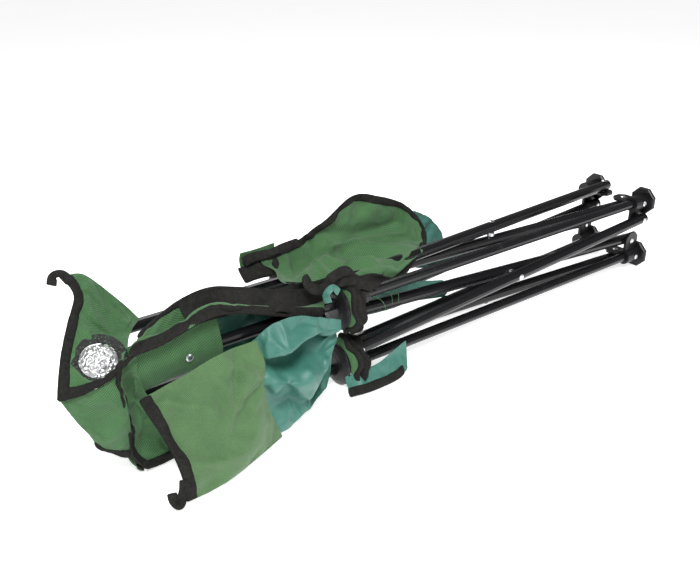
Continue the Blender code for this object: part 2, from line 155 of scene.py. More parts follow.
class Graph:
    """A material's node tree."""

    def __init__(self, name: str) -> None:
        """Starts a material with an empty node tree."""
        self.material = bpy.data.materials.new(name)
        self.material.use_nodes = True
        self.tree = self.material.node_tree
        self.tree.nodes.clear()

    def node(
        self,
        kind: str,
        settings: dict[str, object] | None = None,
        inputs: dict[int | str, object] | None = None,
        output: int | str = 0,
    ) -> Wire:
        """Adds a node.

        Args:
            kind: The node's type name.
            settings: Properties that are set before the sockets, with a ramp's stops as "stops".
            inputs: Values or wires for its sockets.
            output: The socket that is returned.

        Returns:
            The wanted output socket.
        """
        made = self.tree.nodes.new(kind)
        for key, value in (settings or {}).items():
            if key == "stops":
                self._stops(made.color_ramp, value)
            else:
                setattr(made, key, value)
        for key, value in (inputs or {}).items():
            if isinstance(value, Wire):
                self.tree.links.new(value.socket, made.inputs[key])
            else:
                made.inputs[key].default_value = value
        return Wire(self, made.outputs[output] if made.outputs else made.inputs[0])

    @staticmethod
    def _stops(ramp: bpy.types.ColorRamp, stops: Sequence[tuple[float, Colour]]) -> None:
        """Sets a colour ramp's stops."""
        while len(ramp.elements) < len(stops):
            ramp.elements.new(0.5)
        for element, (place, colour) in zip(ramp.elements, stops):
            element.position = place
            element.color = (*colour, 1.0)

    def cloth_map(self) -> tuple[Wire, Wire, Wire]:
        """The cloth's flat map, then the ways across it and along it."""
        flat = self.node("ShaderNodeUVMap", {"uv_map": "Weave"})
        across = self.node("ShaderNodeSeparateXYZ", {}, {0: flat}, "X")
        return flat, across, Wire(self, across.socket.node.outputs["Y"])

    def own_map(self) -> Wire:
        """Places measured in the object's own space."""
        return self.node("ShaderNodeTexCoord", {}, {}, "Object")

    def noise(self, where: Wire, scale: float, detail: float = 3.0, rough: float = 0.55) -> Wire:
        """A noise value between nought and one."""
        return self.node(
            "ShaderNodeTexNoise", {}, {"Vector": where, "Scale": scale, "Detail": detail,
                                       "Roughness": rough}
        )

    def ramp(self, value: Wire, stops: Sequence[tuple[float, Colour]]) -> Wire:
        """A colour ramp over a value."""
        return self.node("ShaderNodeValToRGB", {"stops": stops}, {0: value})

    def bump(self, height: Wire, distance: float, strength: float, below: Wire | None = None) -> Wire:
        """A bump normal from a height."""
        sockets: dict[int | str, object] = {"Height": height, "Distance": distance, "Strength": strength}
        if below is not None:
            sockets["Normal"] = below
        return self.node("ShaderNodeBump", {}, sockets)

    def finish(self, sockets: dict[int | str, object]) -> bpy.types.Material:
        """Adds the surface shader and the output.

        Args:
            sockets: The surface shader's sockets.

        Returns:
            The finished material.
        """
        surface = self.node("ShaderNodeBsdfPrincipled", {}, sockets)
        self.node("ShaderNodeOutputMaterial", {}, {0: surface})
        return self.material


# ---- finishes -----------------------------------------------------------------------------------
@dataclass(frozen=True)
class WovenFinish:
    """Coarse woven polyester, or its coated reverse.

    The thread pattern follows the cloth's own flat measure, kept in its map.
    """

    name: str
    deep: Colour
    light: Colour
    pitch: float = 0.0030
    weave_depth: float = 0.0005
    weave_shade: float = 0.75
    roughness: float = 0.70
    sheen: float = 0.15
    crease: float = 0.0014

    def material(self) -> bpy.types.Material:
        """Builds the finish."""
        graph = Graph(self.name)
        flat, across, length = graph.cloth_map()
        turn = 2 * math.pi / self.pitch
        warp = (across * turn + length * turn * 0.5).wave()
        weft = (across * turn * 0.5 - length * turn).wave()
        thread = warp * weft * 0.5 + 0.5
        ply = (across * turn * 3.1).wave() * (length * turn * 2.9).wave()
        wander = graph.noise(flat, 46.0, 4.0)
        patch = graph.noise(flat, 9.0, 2.0)
        grain = graph.noise(flat, 520.0, 2.0)
        cloth = thread * self.weave_shade + wander * 0.30 + patch * 0.30 + grain * 0.30
        shade = cloth + (0.05 - self.weave_shade / 2)
        colour = graph.ramp(shade, [(0.22, self.deep), (0.78, self.light)])
        fine = graph.bump(thread + ply * 0.2 + grain * 0.3, self.weave_depth, 0.8)
        fold = graph.noise(flat, 30.0, 5.0, 0.6)
        surface = graph.bump(fold, self.crease, 0.6, fine)
        return graph.finish({
            "Base Color": colour,
            "Roughness": wander * 0.16 + (self.roughness - 0.08),
            "Sheen Weight": self.sheen,
            "Sheen Roughness": 0.5,
            "Normal": surface,
        })


@dataclass(frozen=True)
class WebbingFinish:
    """Black ribbed binding tape."""

    name: str
    deep: Colour = (0.001, 0.001, 0.001)
    light: Colour = (0.040, 0.039, 0.036)
    rib: float = 0.0013

    def material(self) -> bpy.types.Material:
        """Builds the finish."""
        graph = Graph(self.name)
        flat, across, length = graph.cloth_map()
        turn = 2 * math.pi / self.rib
        rib = (length * turn).wave() * (across * turn * 0.8).wave()
        fuzz = graph.noise(flat, 900.0, 3.0)
        lint = graph.noise(flat, 160.0, 3.0)
        shade = rib * 0.14 + fuzz * 0.55 + lint * 0.35
        colour = graph.ramp(shade, [(0.25, self.deep), (0.75, self.light)])
        normal = graph.bump(rib * 0.6 + fuzz, 0.0004, 0.9)
        return graph.finish({
            "Base Color": colour,
            "Roughness": fuzz * 0.2 + 0.72,
            "Specular IOR Level": 0.15,
            "Normal": normal,
        })


@dataclass(frozen=True)
class FoilFinish:
    """Crinkled silver insulating foil, painted darker in the low places of its crinkles as painted shade."""

    name: str

    def material(self) -> bpy.types.Material:
        """Builds the finish."""
        graph = Graph(self.name)
        where = graph.own_map()
        cells = graph.node("ShaderNodeTexVoronoi", {"feature": "DISTANCE_TO_EDGE"},
                           {"Vector": where, "Scale": 190.0})
        crumple = graph.noise(where, 120.0, 5.0, 0.65)
        # painted shade: the foil is coloured darker where its crumple is low, in its creases
        colour = graph.ramp(crumple, [(0.3, (0.55, 0.55, 0.56)), (0.7, (0.95, 0.95, 0.96))])
        normal = graph.bump(crumple + cells * 1.5, 0.0025, 0.9)
        return graph.finish({
            "Base Color": colour,
            "Metallic": 0.85,
            "Roughness": crumple * 0.25 + 0.18,
            "Normal": normal,
        })


@dataclass(frozen=True)
class PaintFinish:
    """Glossy black powder coat on steel, worn a little at raised spots."""

    name: str
    base: Colour = (0.006, 0.006, 0.007)
    worn: Colour = (0.024, 0.023, 0.023)
    roughness: float = 0.22
    peel: float = 0.00001
    coat: float = 0.10

    def material(self) -> bpy.types.Material:
        """Builds the finish."""
        graph = Graph(self.name)
        where = graph.own_map()
        scuff = graph.noise(where, 38.0, 6.0, 0.7)
        grain = graph.noise(where, 450.0, 2.0)
        colour = graph.ramp(scuff, [(0.58, self.base), (0.85, self.worn)])
        normal = graph.bump(grain, self.peel, 0.5)
        return graph.finish({
            "Base Color": colour,
            "Roughness": scuff * 0.14 + (self.roughness - 0.05),
            "Specular IOR Level": 0.32,
            "Coat Weight": self.coat,
            "Coat Roughness": 0.12,
            "Normal": normal,
        })


@dataclass(frozen=True)
class SteelFinish:
    """Zinc plated steel with fine turning marks."""

    name: str

    def material(self) -> bpy.types.Material:
        """Builds the finish."""
        graph = Graph(self.name)
        where = graph.own_map()
        cloud = graph.noise(where, 300.0, 4.0)
        colour = graph.ramp(cloud, [(0.3, (0.50, 0.51, 0.53)), (0.75, (0.83, 0.84, 0.86))])
        normal = graph.bump(cloud, 0.0002, 0.4)
        return graph.finish({
            "Base Color": colour,
            "Metallic": 1.0,
            "Roughness": cloud * 0.2 + 0.18,
            "Normal": normal,
        })


@dataclass(frozen=True)
class NetFinish:
    """Knitted black net with green showing through."""

    name: str
    thread: Colour = (0.008, 0.009, 0.008)
    gap: Colour = (0.030, 0.085, 0.040)
    pitch: float = 0.0030

    def material(self) -> bpy.types.Material:
        """Builds the finish."""
        graph = Graph(self.name)
        where = graph.own_map()
        holes = graph.node("ShaderNodeTexVoronoi", {"feature": "F1"},
                           {"Vector": where, "Scale": 1.0 / self.pitch})
        colour = graph.ramp(holes, [(0.18, self.gap), (0.36, self.thread)])
        normal = graph.bump(holes, 0.0010, 0.9)
        return graph.finish({
            "Base Color": colour,
            "Roughness": holes * 0.2 + 0.62,
            "Normal": normal,
        })


@dataclass(frozen=True)
class FloorFinish:
    """Plain pale studio floor."""

    name: str

    def material(self) -> bpy.types.Material:
        """Builds the finish."""
        graph = Graph(self.name)
        where = graph.own_map()
        cloud = graph.noise(where, 3.0, 2.0)
        colour = graph.ramp(cloud, [(0.0, (0.90, 0.90, 0.90)), (1.0, (0.93, 0.93, 0.93))])
        return graph.finish({
            "Base Color": colour,
            "Roughness": 0.9,
            "Specular IOR Level": 0.0,
            "Emission Color": colour,
            "Emission Strength": 0.80,
        })


@dataclass
class Wardrobe:
    """Every finish of the chair, built once."""

    green: bpy.types.Material = field(init=False)
    dull_green: bpy.types.Material = field(init=False)
    teal: bpy.types.Material = field(init=False)
    webbing: bpy.types.Material = field(init=False)
    net: bpy.types.Material = field(init=False)
    foil: bpy.types.Material = field(init=False)
    paint: bpy.types.Material = field(init=False)
    plastic: bpy.types.Material = field(init=False)
    steel: bpy.types.Material = field(init=False)

    def __post_init__(self) -> None:
        """Builds the materials."""
        green = ((0.010, 0.052, 0.012), (0.074, 0.205, 0.068))
        self.green = WovenFinish("green_oxford", *green).material()
        reverse = ((0.018, 0.105, 0.080), (0.062, 0.215, 0.168))
        self.teal = WovenFinish("teal_coating", *reverse, pitch=0.0022, weave_depth=0.00008,
                                weave_shade=0.10, roughness=0.46, sheen=0.05, crease=0.0020).material()
        thin = ((0.020, 0.068, 0.016), (0.105, 0.215, 0.082))
        self.dull_green = WovenFinish("green_thin", *thin, pitch=0.0024, weave_depth=0.0003,
                                      weave_shade=0.55).material()
        self.webbing = WebbingFinish("black_binding").material()
        self.net = NetFinish("black_net").material()
        self.foil = FoilFinish("silver_foil").material()
        self.paint = PaintFinish("black_powder_coat").material()
        self.plastic = PaintFinish("black_moulding", (0.008, 0.008, 0.009), (0.030, 0.030, 0.031),
                                   0.34, 0.00004, 0.0).material()
        self.steel = SteelFinish("zinc_plate").material()


# ---- mesh making --------------------------------------------------------------------------------
def curve_points(points: Sequence[Vector], count: int, closed: bool = False) -> list[Vector]:
    """Even steps along a smooth curve through the given points.

    Args:
        points: The points that it passes through.
        count: How many points are returned.
        closed: True for a loop.

    Returns:
        Points spread by the curve's parameter, ends included on an open curve.
    """
    total = len(points)
    spans = total if closed else total - 1
    made = []
    for step in range(count):
        place = step * spans / (count if closed else count - 1)
        first = min(int(place), spans - 1)
        t = place - first
        if closed:
            p0, p1, p2, p3 = (points[(first + k - 1) % total] for k in range(4))
        else:
            p1, p2 = points[first], points[first + 1]
            p0 = points[first - 1] if first else p1 * 2 - p2
            p3 = points[first + 2] if first + 2 < total else p2 * 2 - p1
        made.append(0.5 * (p1 * 2 + (p2 - p0) * t + (p0 * 2 - p1 * 5 + p2 * 4 - p3) * t * t
                           + (p1 * 3 - p0 - p2 * 3 + p3) * t ** 3))
    return made


def grid_through(rows: Sequence[Sequence[Point]], step: float) -> list[list[Vector]]:
    """A fine grid of points through a coarse net, about one step apart."""
    coarse = [[DATUM.at(*point) for point in row] for row in rows]
    wide = max(sum((b - a).length for a, b in zip(row, row[1:])) for row in coarse)
    tall = max(sum((b[k] - a[k]).length for a, b in zip(coarse, coarse[1:]))
               for k in range(len(coarse[0])))
    across, down = max(8, round(wide / step)), max(8, round(tall / step))
    fine_rows = [curve_points(row, across + 1) for row in coarse]
    columns = [curve_points([row[k] for row in fine_rows], down + 1) for k in range(across + 1)]
    return [[columns[k][j] for k in range(across + 1)] for j in range(down + 1)]


def link(name: str, mesh: bpy.types.Mesh, looks: Sequence[bpy.types.Material]) -> bpy.types.Object:
    """Adds an object with its materials."""
    made = bpy.data.objects.new(name, mesh)
    bpy.context.scene.collection.objects.link(made)
    for look in looks:
        mesh.materials.append(look)
    return made


def as_mesh(name: str, bm: bmesh.types.BMesh) -> bpy.types.Mesh:
    """Turns a finished bmesh into a mesh and frees it."""
    mesh = bpy.data.meshes.new(name)
    bm.to_mesh(mesh)
    bm.free()
    return mesh


def apply_modifiers(piece: bpy.types.Object) -> None:
    """Turns a piece's modifiers into plain mesh."""
    graph = bpy.context.evaluated_depsgraph_get()
    mesh = bpy.data.meshes.new_from_object(piece.evaluated_get(graph))
    piece.modifiers.clear()
    old, piece.data = piece.data, mesh
    bpy.data.meshes.remove(old)


def crumple(point: Vector, scale: float, seed: float) -> float:
    """Soft folds with sharper ridges, from -1 to 1."""
    place = point * scale + Vector((seed, seed * 1.7, -seed))
    ridge = 1 - 2 * abs(noise.noise(place))
    return 0.6 * ridge * abs(ridge) + 0.4 * noise.noise(place * 2.3)


@dataclass(frozen=True)
class Fold:
    """A crease that runs from one place to another; a negative height is a valley."""

    start: Point
    end: Point
    height: float
    width: float

    def lift(self, point: Vector) -> float:
        """How far the crease raises a point of the cloth."""
        start, end = DATUM.at(*self.start), DATUM.at(*self.end)
        along = end - start
        share = min(1.0, max(0.0, (point - start).dot(along) / along.length_squared))
        away = (point - start - along * share).length / self.width
        return self.height * (1 - away) ** 1.6 if away < 1 else 0.0


@dataclass
class Cloth:
    """One sewn sheet of cloth.

    Args:
        name: The piece's name.
        rows: Its net of points, row by row, in the chair's own coordinates.
        front: The finish of the side that its rows turn clockwise towards.
        back: The finish of the other side.
        fold: The height of its creases.
        grain: How close the creases are, per metre.
        growth: How much longer it is cut than the net, which makes it buckle.
        slack: The share of gravity that it feels while it settles.
    """

    name: str
    rows: Sequence[Sequence[Point]]
    front: bpy.types.Material
    back: bpy.types.Material
    fold: float = 0.0022
    grain: float = 22.0
    growth: float = 0.06
    slack: float = 0.15
    seed: float = 1.0
    step: float = 0.004
    thickness: float = 0.0009
    hole: tuple[Point, float] | None = None
    folds: Sequence[Fold] = ()
    stiff: float = 2.0
    grid: list[list[Vector]] = field(default_factory=list)
    flat: tuple[float, float] = (0.0, 0.0)
    area: float = 0.0
    piece: bpy.types.Object | None = None

    def build(self) -> bpy.types.Object:
        """Makes the sheet: net, creases, settling and thickness."""
        self.grid = grid_through(self.rows, self.step)
        mesh = self._mesh()
        self.piece = link(self.name, mesh, [self.front, self.back])
        self._settle()
        self._cut_hole()
        thick = self.piece.modifiers.new("thickness", "SOLIDIFY")
        thick.thickness = self.thickness
        thick.offset = -1.0
        thick.material_offset = 1
        thick.material_offset_rim = 0
        fine = self.piece.modifiers.new("fine", "SUBSURF")
        fine.levels = fine.render_levels = 1
        apply_modifiers(self.piece)
        self.piece.data.shade_smooth()
        return self.piece

    def _mesh(self) -> bpy.types.Mesh:
        """The sheet's grid as a mesh whose map is its flat measure."""
        down, across = len(self.grid), len(self.grid[0])
        wide = max(sum((b - a).length for a, b in zip(row, row[1:])) for row in self.grid)
        tall = max(sum((b[k] - a[k]).length for a, b in zip(self.grid, self.grid[1:]))
                   for k in range(across))
        cut = 1 + self.growth
        self.flat = (round(wide * cut, 4), round(tall * cut, 4))
        bm = bmesh.new()
        verts = [[bm.verts.new(point) for point in row] for row in self.grid]
        weave = bm.loops.layers.uv.new("Weave")
        for j in range(down - 1):
            for k in range(across - 1):
                face = bm.faces.new((verts[j][k], verts[j + 1][k], verts[j + 1][k + 1],
                                     verts[j][k + 1]))
                spots = ((j, k), (j + 1, k), (j + 1, k + 1), (j, k + 1))
                for loop, (row, column) in zip(face.loops, spots):
                    loop[weave].uv = (column / (across - 1) * wide, row / (down - 1) * tall)
        bm.normal_update()
        self.area = sum(face.calc_area() for face in bm.faces) * cut * cut
        edge = [[min(j, k, down - 1 - j, across - 1 - k) for k in range(across)] for j in range(down)]
        moves = []
        for j, row in enumerate(verts):
            for k, vert in enumerate(row):
                # the border is sewn, so it follows a crease only in part
                loose = min(1.0, max(0.0, edge[j][k] - 1) / 4)
                lift = self.fold * loose * crumple(vert.co, self.grain, self.seed)
                lift += sum(fold.lift(vert.co) for fold in self.folds) * (0.35 + 0.65 * loose)
                moves.append((vert, vert.normal * lift))
        for vert, move in moves:
            vert.co += move
            vert.co.z = max(vert.co.z, 0.0026)
        self.grid = [[vert.co.copy() for vert in row] for row in verts]
        return as_mesh(self.name, bm)

    def _settle(self) -> None:
        """Lets the longer-cut cloth buckle between its sewn edges."""
        if not self.growth:
            return
        piece = self.piece
        down, across = len(self.grid), len(self.grid[0])
        sewn = [j * across + k for j in range(down) for k in range(across)
                if min(j, k, down - 1 - j, across - 1 - k) == 0]
        piece.vertex_groups.new(name="sewn").add(sewn, 1.0, "REPLACE")
        cloth = piece.modifiers.new("cloth", "CLOTH")
        cloth.settings.vertex_group_mass = "sewn"
        cloth.settings.shrink_min = -self.growth
        cloth.settings.quality = 5
        cloth.settings.mass = 0.2
        cloth.settings.tension_stiffness = 12
        cloth.settings.compression_stiffness = 12
        cloth.settings.shear_stiffness = 4
        cloth.settings.bending_stiffness = self.stiff
        cloth.settings.effector_weights.gravity = self.slack
        cloth.collision_settings.use_collision = False
        cloth.point_cache.frame_end = SETTLE_FRAMES
        scene = bpy.context.scene
        for step in range(1, SETTLE_FRAMES + 1):
            scene.frame_set(step)
        apply_modifiers(piece)
        scene.frame_set(1)
        self._limit()
        settled = [v.co.copy() for v in piece.data.vertices]
        self.grid = [settled[j * across:(j + 1) * across] for j in range(down)]

    def _limit(self) -> None:
        """Keeps the settled cloth near its net and above the ground."""
        reach = 0.010
        flat_grid = [point for row in self.grid for point in row]
        for vert, home in zip(self.piece.data.vertices, flat_grid):
            move = vert.co - home
            if move.length > reach:
                vert.co = home + move.normalized() * reach
            vert.co.z = max(vert.co.z, 0.0026)

    def _cut_hole(self) -> None:
        """Cuts a round hole, if the sheet has one."""
        if self.hole is None:
            return
        centre, radius = DATUM.at(*self.hole[0]), self.hole[1]
        bm = bmesh.new()
        bm.from_mesh(self.piece.data)
        gone = [face for face in bm.faces if (face.calc_center_median() - centre).length < radius]
        bmesh.ops.delete(bm, geom=gone, context="FACES")
        loose = [vert for vert in bm.verts if not vert.link_faces]
        bmesh.ops.delete(bm, geom=loose, context="VERTS")
        bm.to_mesh(self.piece.data)
        bm.free()

    def edge(self, side: str) -> list[Vector]:
        """The points of one sewn edge: top, bottom, left or right."""
        picks: dict[str, Callable[[], list[Vector]]] = {
            "top": lambda: list(self.grid[0]),
            "bottom": lambda: list(self.grid[-1]),
            "left": lambda: [row[0] for row in self.grid],
            "right": lambda: [row[-1] for row in self.grid],
        }
        return picks[side]()

    def lines_in(self, side: str) -> list[list[Vector]]:
        """For each point of an edge, the line of cloth that leads inwards from it."""
        deep = 8
        columns = [list(column) for column in zip(*self.grid)]
        lines = {
            "top": lambda: columns,
            "bottom": lambda: [column[::-1] for column in columns],
            "left": lambda: self.grid,
            "right": lambda: [row[::-1] for row in self.grid],
        }[side]()
        return [line[:deep] for line in lines]


SETTLE_FRAMES = 14
ROUND_A_TAPE = 2.2                             # the way round a tape, in widths


@dataclass
class Ribbon:
    """A flat tape along a line, such as a binding folded over an edge.

    Args:
        name: The piece's name.
        line: The points that its middle follows.
        across: The direction of its width at each point.
        width: Its width.
        thickness: Its thickness.
        ruffle: The height of its waves.
    """

    name: str
    line: Sequence[Vector]
    across: Sequence[Vector]
    look: bpy.types.Material
    width: float = 0.011
    thickness: float = 0.0026
    ruffle: float = 0.0006
    seed: float = 3.0

    def build(self) -> bpy.types.Object:
        """Sweeps the tape's rounded section along its line."""
        sides = 10
        rings = []
        for k, (point, wide) in enumerate(zip(self.line, self.across)):
            ahead = self.line[min(k + 1, len(self.line) - 1)] - self.line[max(k - 1, 0)]
            out = ahead.cross(wide)
            if out.length < 1e-9:
                out = Vector((0, 0, 1))
            out.normalize()
            wide = out.cross(ahead).normalized() * math.copysign(1, out.cross(ahead).dot(wide) or 1)
            lift = out * self.ruffle * noise.noise(point * 90 + Vector((self.seed, 0, 0)))
            ring = []
            for step in range(sides):
                turn = 2 * math.pi * (step + 0.5) / sides
                side, rise = math.cos(turn), math.sin(turn)
                pad = math.copysign(abs(side) ** 0.6, side) * self.width / 2
                ring.append(point + lift + wide * pad + out * rise * self.thickness / 2)
            rings.append(ring)
        return sweep(self.name, self.line, rings, self.width, self.look)


def sweep(name: str, line: Sequence[Vector], rings: Sequence[Sequence[Vector]], width: float,
          look: bpy.types.Material) -> bpy.types.Object:
    """Joins closed rings of points along a line into a smooth tape whose map is its flat measure."""
    bm = bmesh.new()
    weave = bm.loops.layers.uv.new("Weave")
    made = [[bm.verts.new(point) for point in ring] for ring in rings]
    travel = [0.0]
    for a, b in zip(line, line[1:]):
        travel.append(travel[-1] + (b - a).length)
    sides = len(rings[0])
    for k, (low, high) in enumerate(zip(made, made[1:])):
        for step in range(sides):
            ahead = (step + 1) % sides
            face = bm.faces.new((low[step], low[ahead], high[ahead], high[step]))
            marks = ((step, k), (step + 1, k), (step + 1, k + 1), (step, k + 1))
            for loop, (turn_step, spot) in zip(face.loops, marks):
                loop[weave].uv = (turn_step / sides * ROUND_A_TAPE * width, travel[spot])
    bm.faces.new(made[0][::-1])
    bm.faces.new(made[-1])
    bmesh.ops.recalc_face_normals(bm, faces=bm.faces)
    piece = link(name, as_mesh(name, bm), [look])
    piece.data.shade_smooth()
    fine = piece.modifiers.new("fine", "SUBSURF")
    fine.levels = fine.render_levels = 1
    apply_modifiers(piece)
    return piece


def along(line: Sequence[Vector], travel: float) -> Vector:
    """The place at a distance along a line."""
    for a, b in zip(line, line[1:]):
        long = (b - a).length
        if travel <= long:
            return a.lerp(b, travel / long)
        travel -= long
    return line[-1].copy()


def binding(name: str, cloth: Cloth, side: str, look: bpy.types.Material, width: float = 0.011,
            part: tuple[float, float] = (0.0, 1.0), thickness: float = 0.0046) -> bpy.types.Object:
    """A binding tape folded over part of a cloth's edge, lying on the cloth's own surface.

    Args:
        name: The piece's name.
        cloth: The sheet whose edge is bound.
        side: The edge: top, bottom, left or right.
        look: The tape's finish.
        width: How far the tape reaches in from the edge.
        part: The shares of the edge where the tape starts and ends.
        thickness: The thickness over both layers of tape.

    Returns:
        The tape.
    """
    lines = cloth.lines_in(side)
    first, last = round(part[0] * (len(lines) - 1)), round(part[1] * (len(lines) - 1)) + 1
    lines = lines[first:last]
    overhang, nearby = 0.0012, 0.002
    rings = []
    for k, line in enumerate(lines):
        before, after = lines[max(k - 1, 0)], lines[min(k + 1, len(lines) - 1)]
        wide = width * (1 + 0.10 * noise.noise(line[0] * 60))
        front, back = [], []
        for share in (0.0, 0.25, 0.5, 0.75, 1.0):
            reach = share * wide
            ahead = along(after, reach) - along(before, reach)
            into = along(line, reach + nearby) - along(line, max(reach - nearby, 0.0))
            out = ahead.cross(into).normalized()
            spot = along(line, reach) - into.normalized() * (overhang if share == 0 else 0.0)
            spot += out * 0.0006 * noise.noise(spot * 140)
            half = thickness / 2 * (0.45 if share in (0.0, 1.0) else 1.0)
            front.append(spot + out * half)
            back.append(spot - out * half)
        rings.append(front + back[::-1])
    return sweep(name, [line[0] for line in lines], rings, width, look)


def tape_through(name: str, points: Sequence[Point], look: bpy.types.Material, width: float,
                 facing: Point, count: int = 60, ruffle: float = 0.002, seed: float = 5.0,
                 thickness: float = 0.0026) -> bpy.types.Object:
    """A tape through chosen points, lying flat towards a direction."""
    line = curve_points([DATUM.at(*point) for point in points], count)
    face = Vector(facing).normalized()
    across = []
    for k, point in enumerate(line):
        ahead = (line[min(k + 1, count - 1)] - line[max(k - 1, 0)]).normalized()
        side = ahead.cross(face)
        side = side.normalized() if side.length > 1e-6 else Vector((0, 0, 1))
        lean = noise.noise(point * 40 + Vector((seed, seed, 0))) * 0.9
        across.append((Matrix.Rotation(lean, 3, ahead) @ side).normalized())
    return Ribbon(name, line, across, look, width, thickness, ruffle, seed).build()


# ---- placing ------------------------------------------------------------------------------------
@dataclass(frozen=True)
class Spread:
    """Two bodies that a piece of cloth lies between, with two places given in the chair's own coordinates.
    """

    first: Body
    second: Body
    start: Point
    end: Point


def place(piece: bpy.types.Object, on: Body | Spread, slot: str = "green_cloth",
          stands_for: Sequence[str] = ()) -> None:
    """Gives a finished piece its body, or bakes it where it lies when it spreads between two, and hides the
    solids that it stands for.
    """
    if isinstance(on, Spread):
        DATUM.at(*on.start)
        DATUM.at(*on.end)
        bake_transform(piece)
    else:
        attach(piece, on.value)
    if stands_for:
        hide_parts(*stands_for)
    LOG.info("%s: %d faces", piece.name, len(piece.data.polygons))


def place_sheet(cloth: Cloth, on: Body | Spread,
                stands_for: Sequence[str] = ()) -> None:
    piece = cloth.build() if cloth.piece is None else cloth.piece
    place(piece, on, "green_cloth", stands_for)


BACK_SPREAD = Spread(Body.BACK_LOWER, Body.BACK_SPREAD, (0, 0, 0.020), (0, 0, 0.118))
SEAT_SPREAD = Spread(Body.SEAT_UPPER, Body.SEAT_UPPER_FRONT, (0, 0.005, 0), (0, 0.100, 0))
FLAP_SPREAD = Spread(Body.SEAT_LOWER, Body.SEAT_LOWER_FRONT, (0, 0.005, 0), (0, 0.100, 0))
ARM_SPREAD = Spread(Body.BACK_UPPER, Body.ARM_UPPER, (-0.26, 0, 0), (-0.47, 0.030, 0))
LOW_ARM_SPREAD = Spread(Body.BACK_LOWER, Body.ARM_LOWER, (0, -0.020, 0), (0, 0.040, 0))


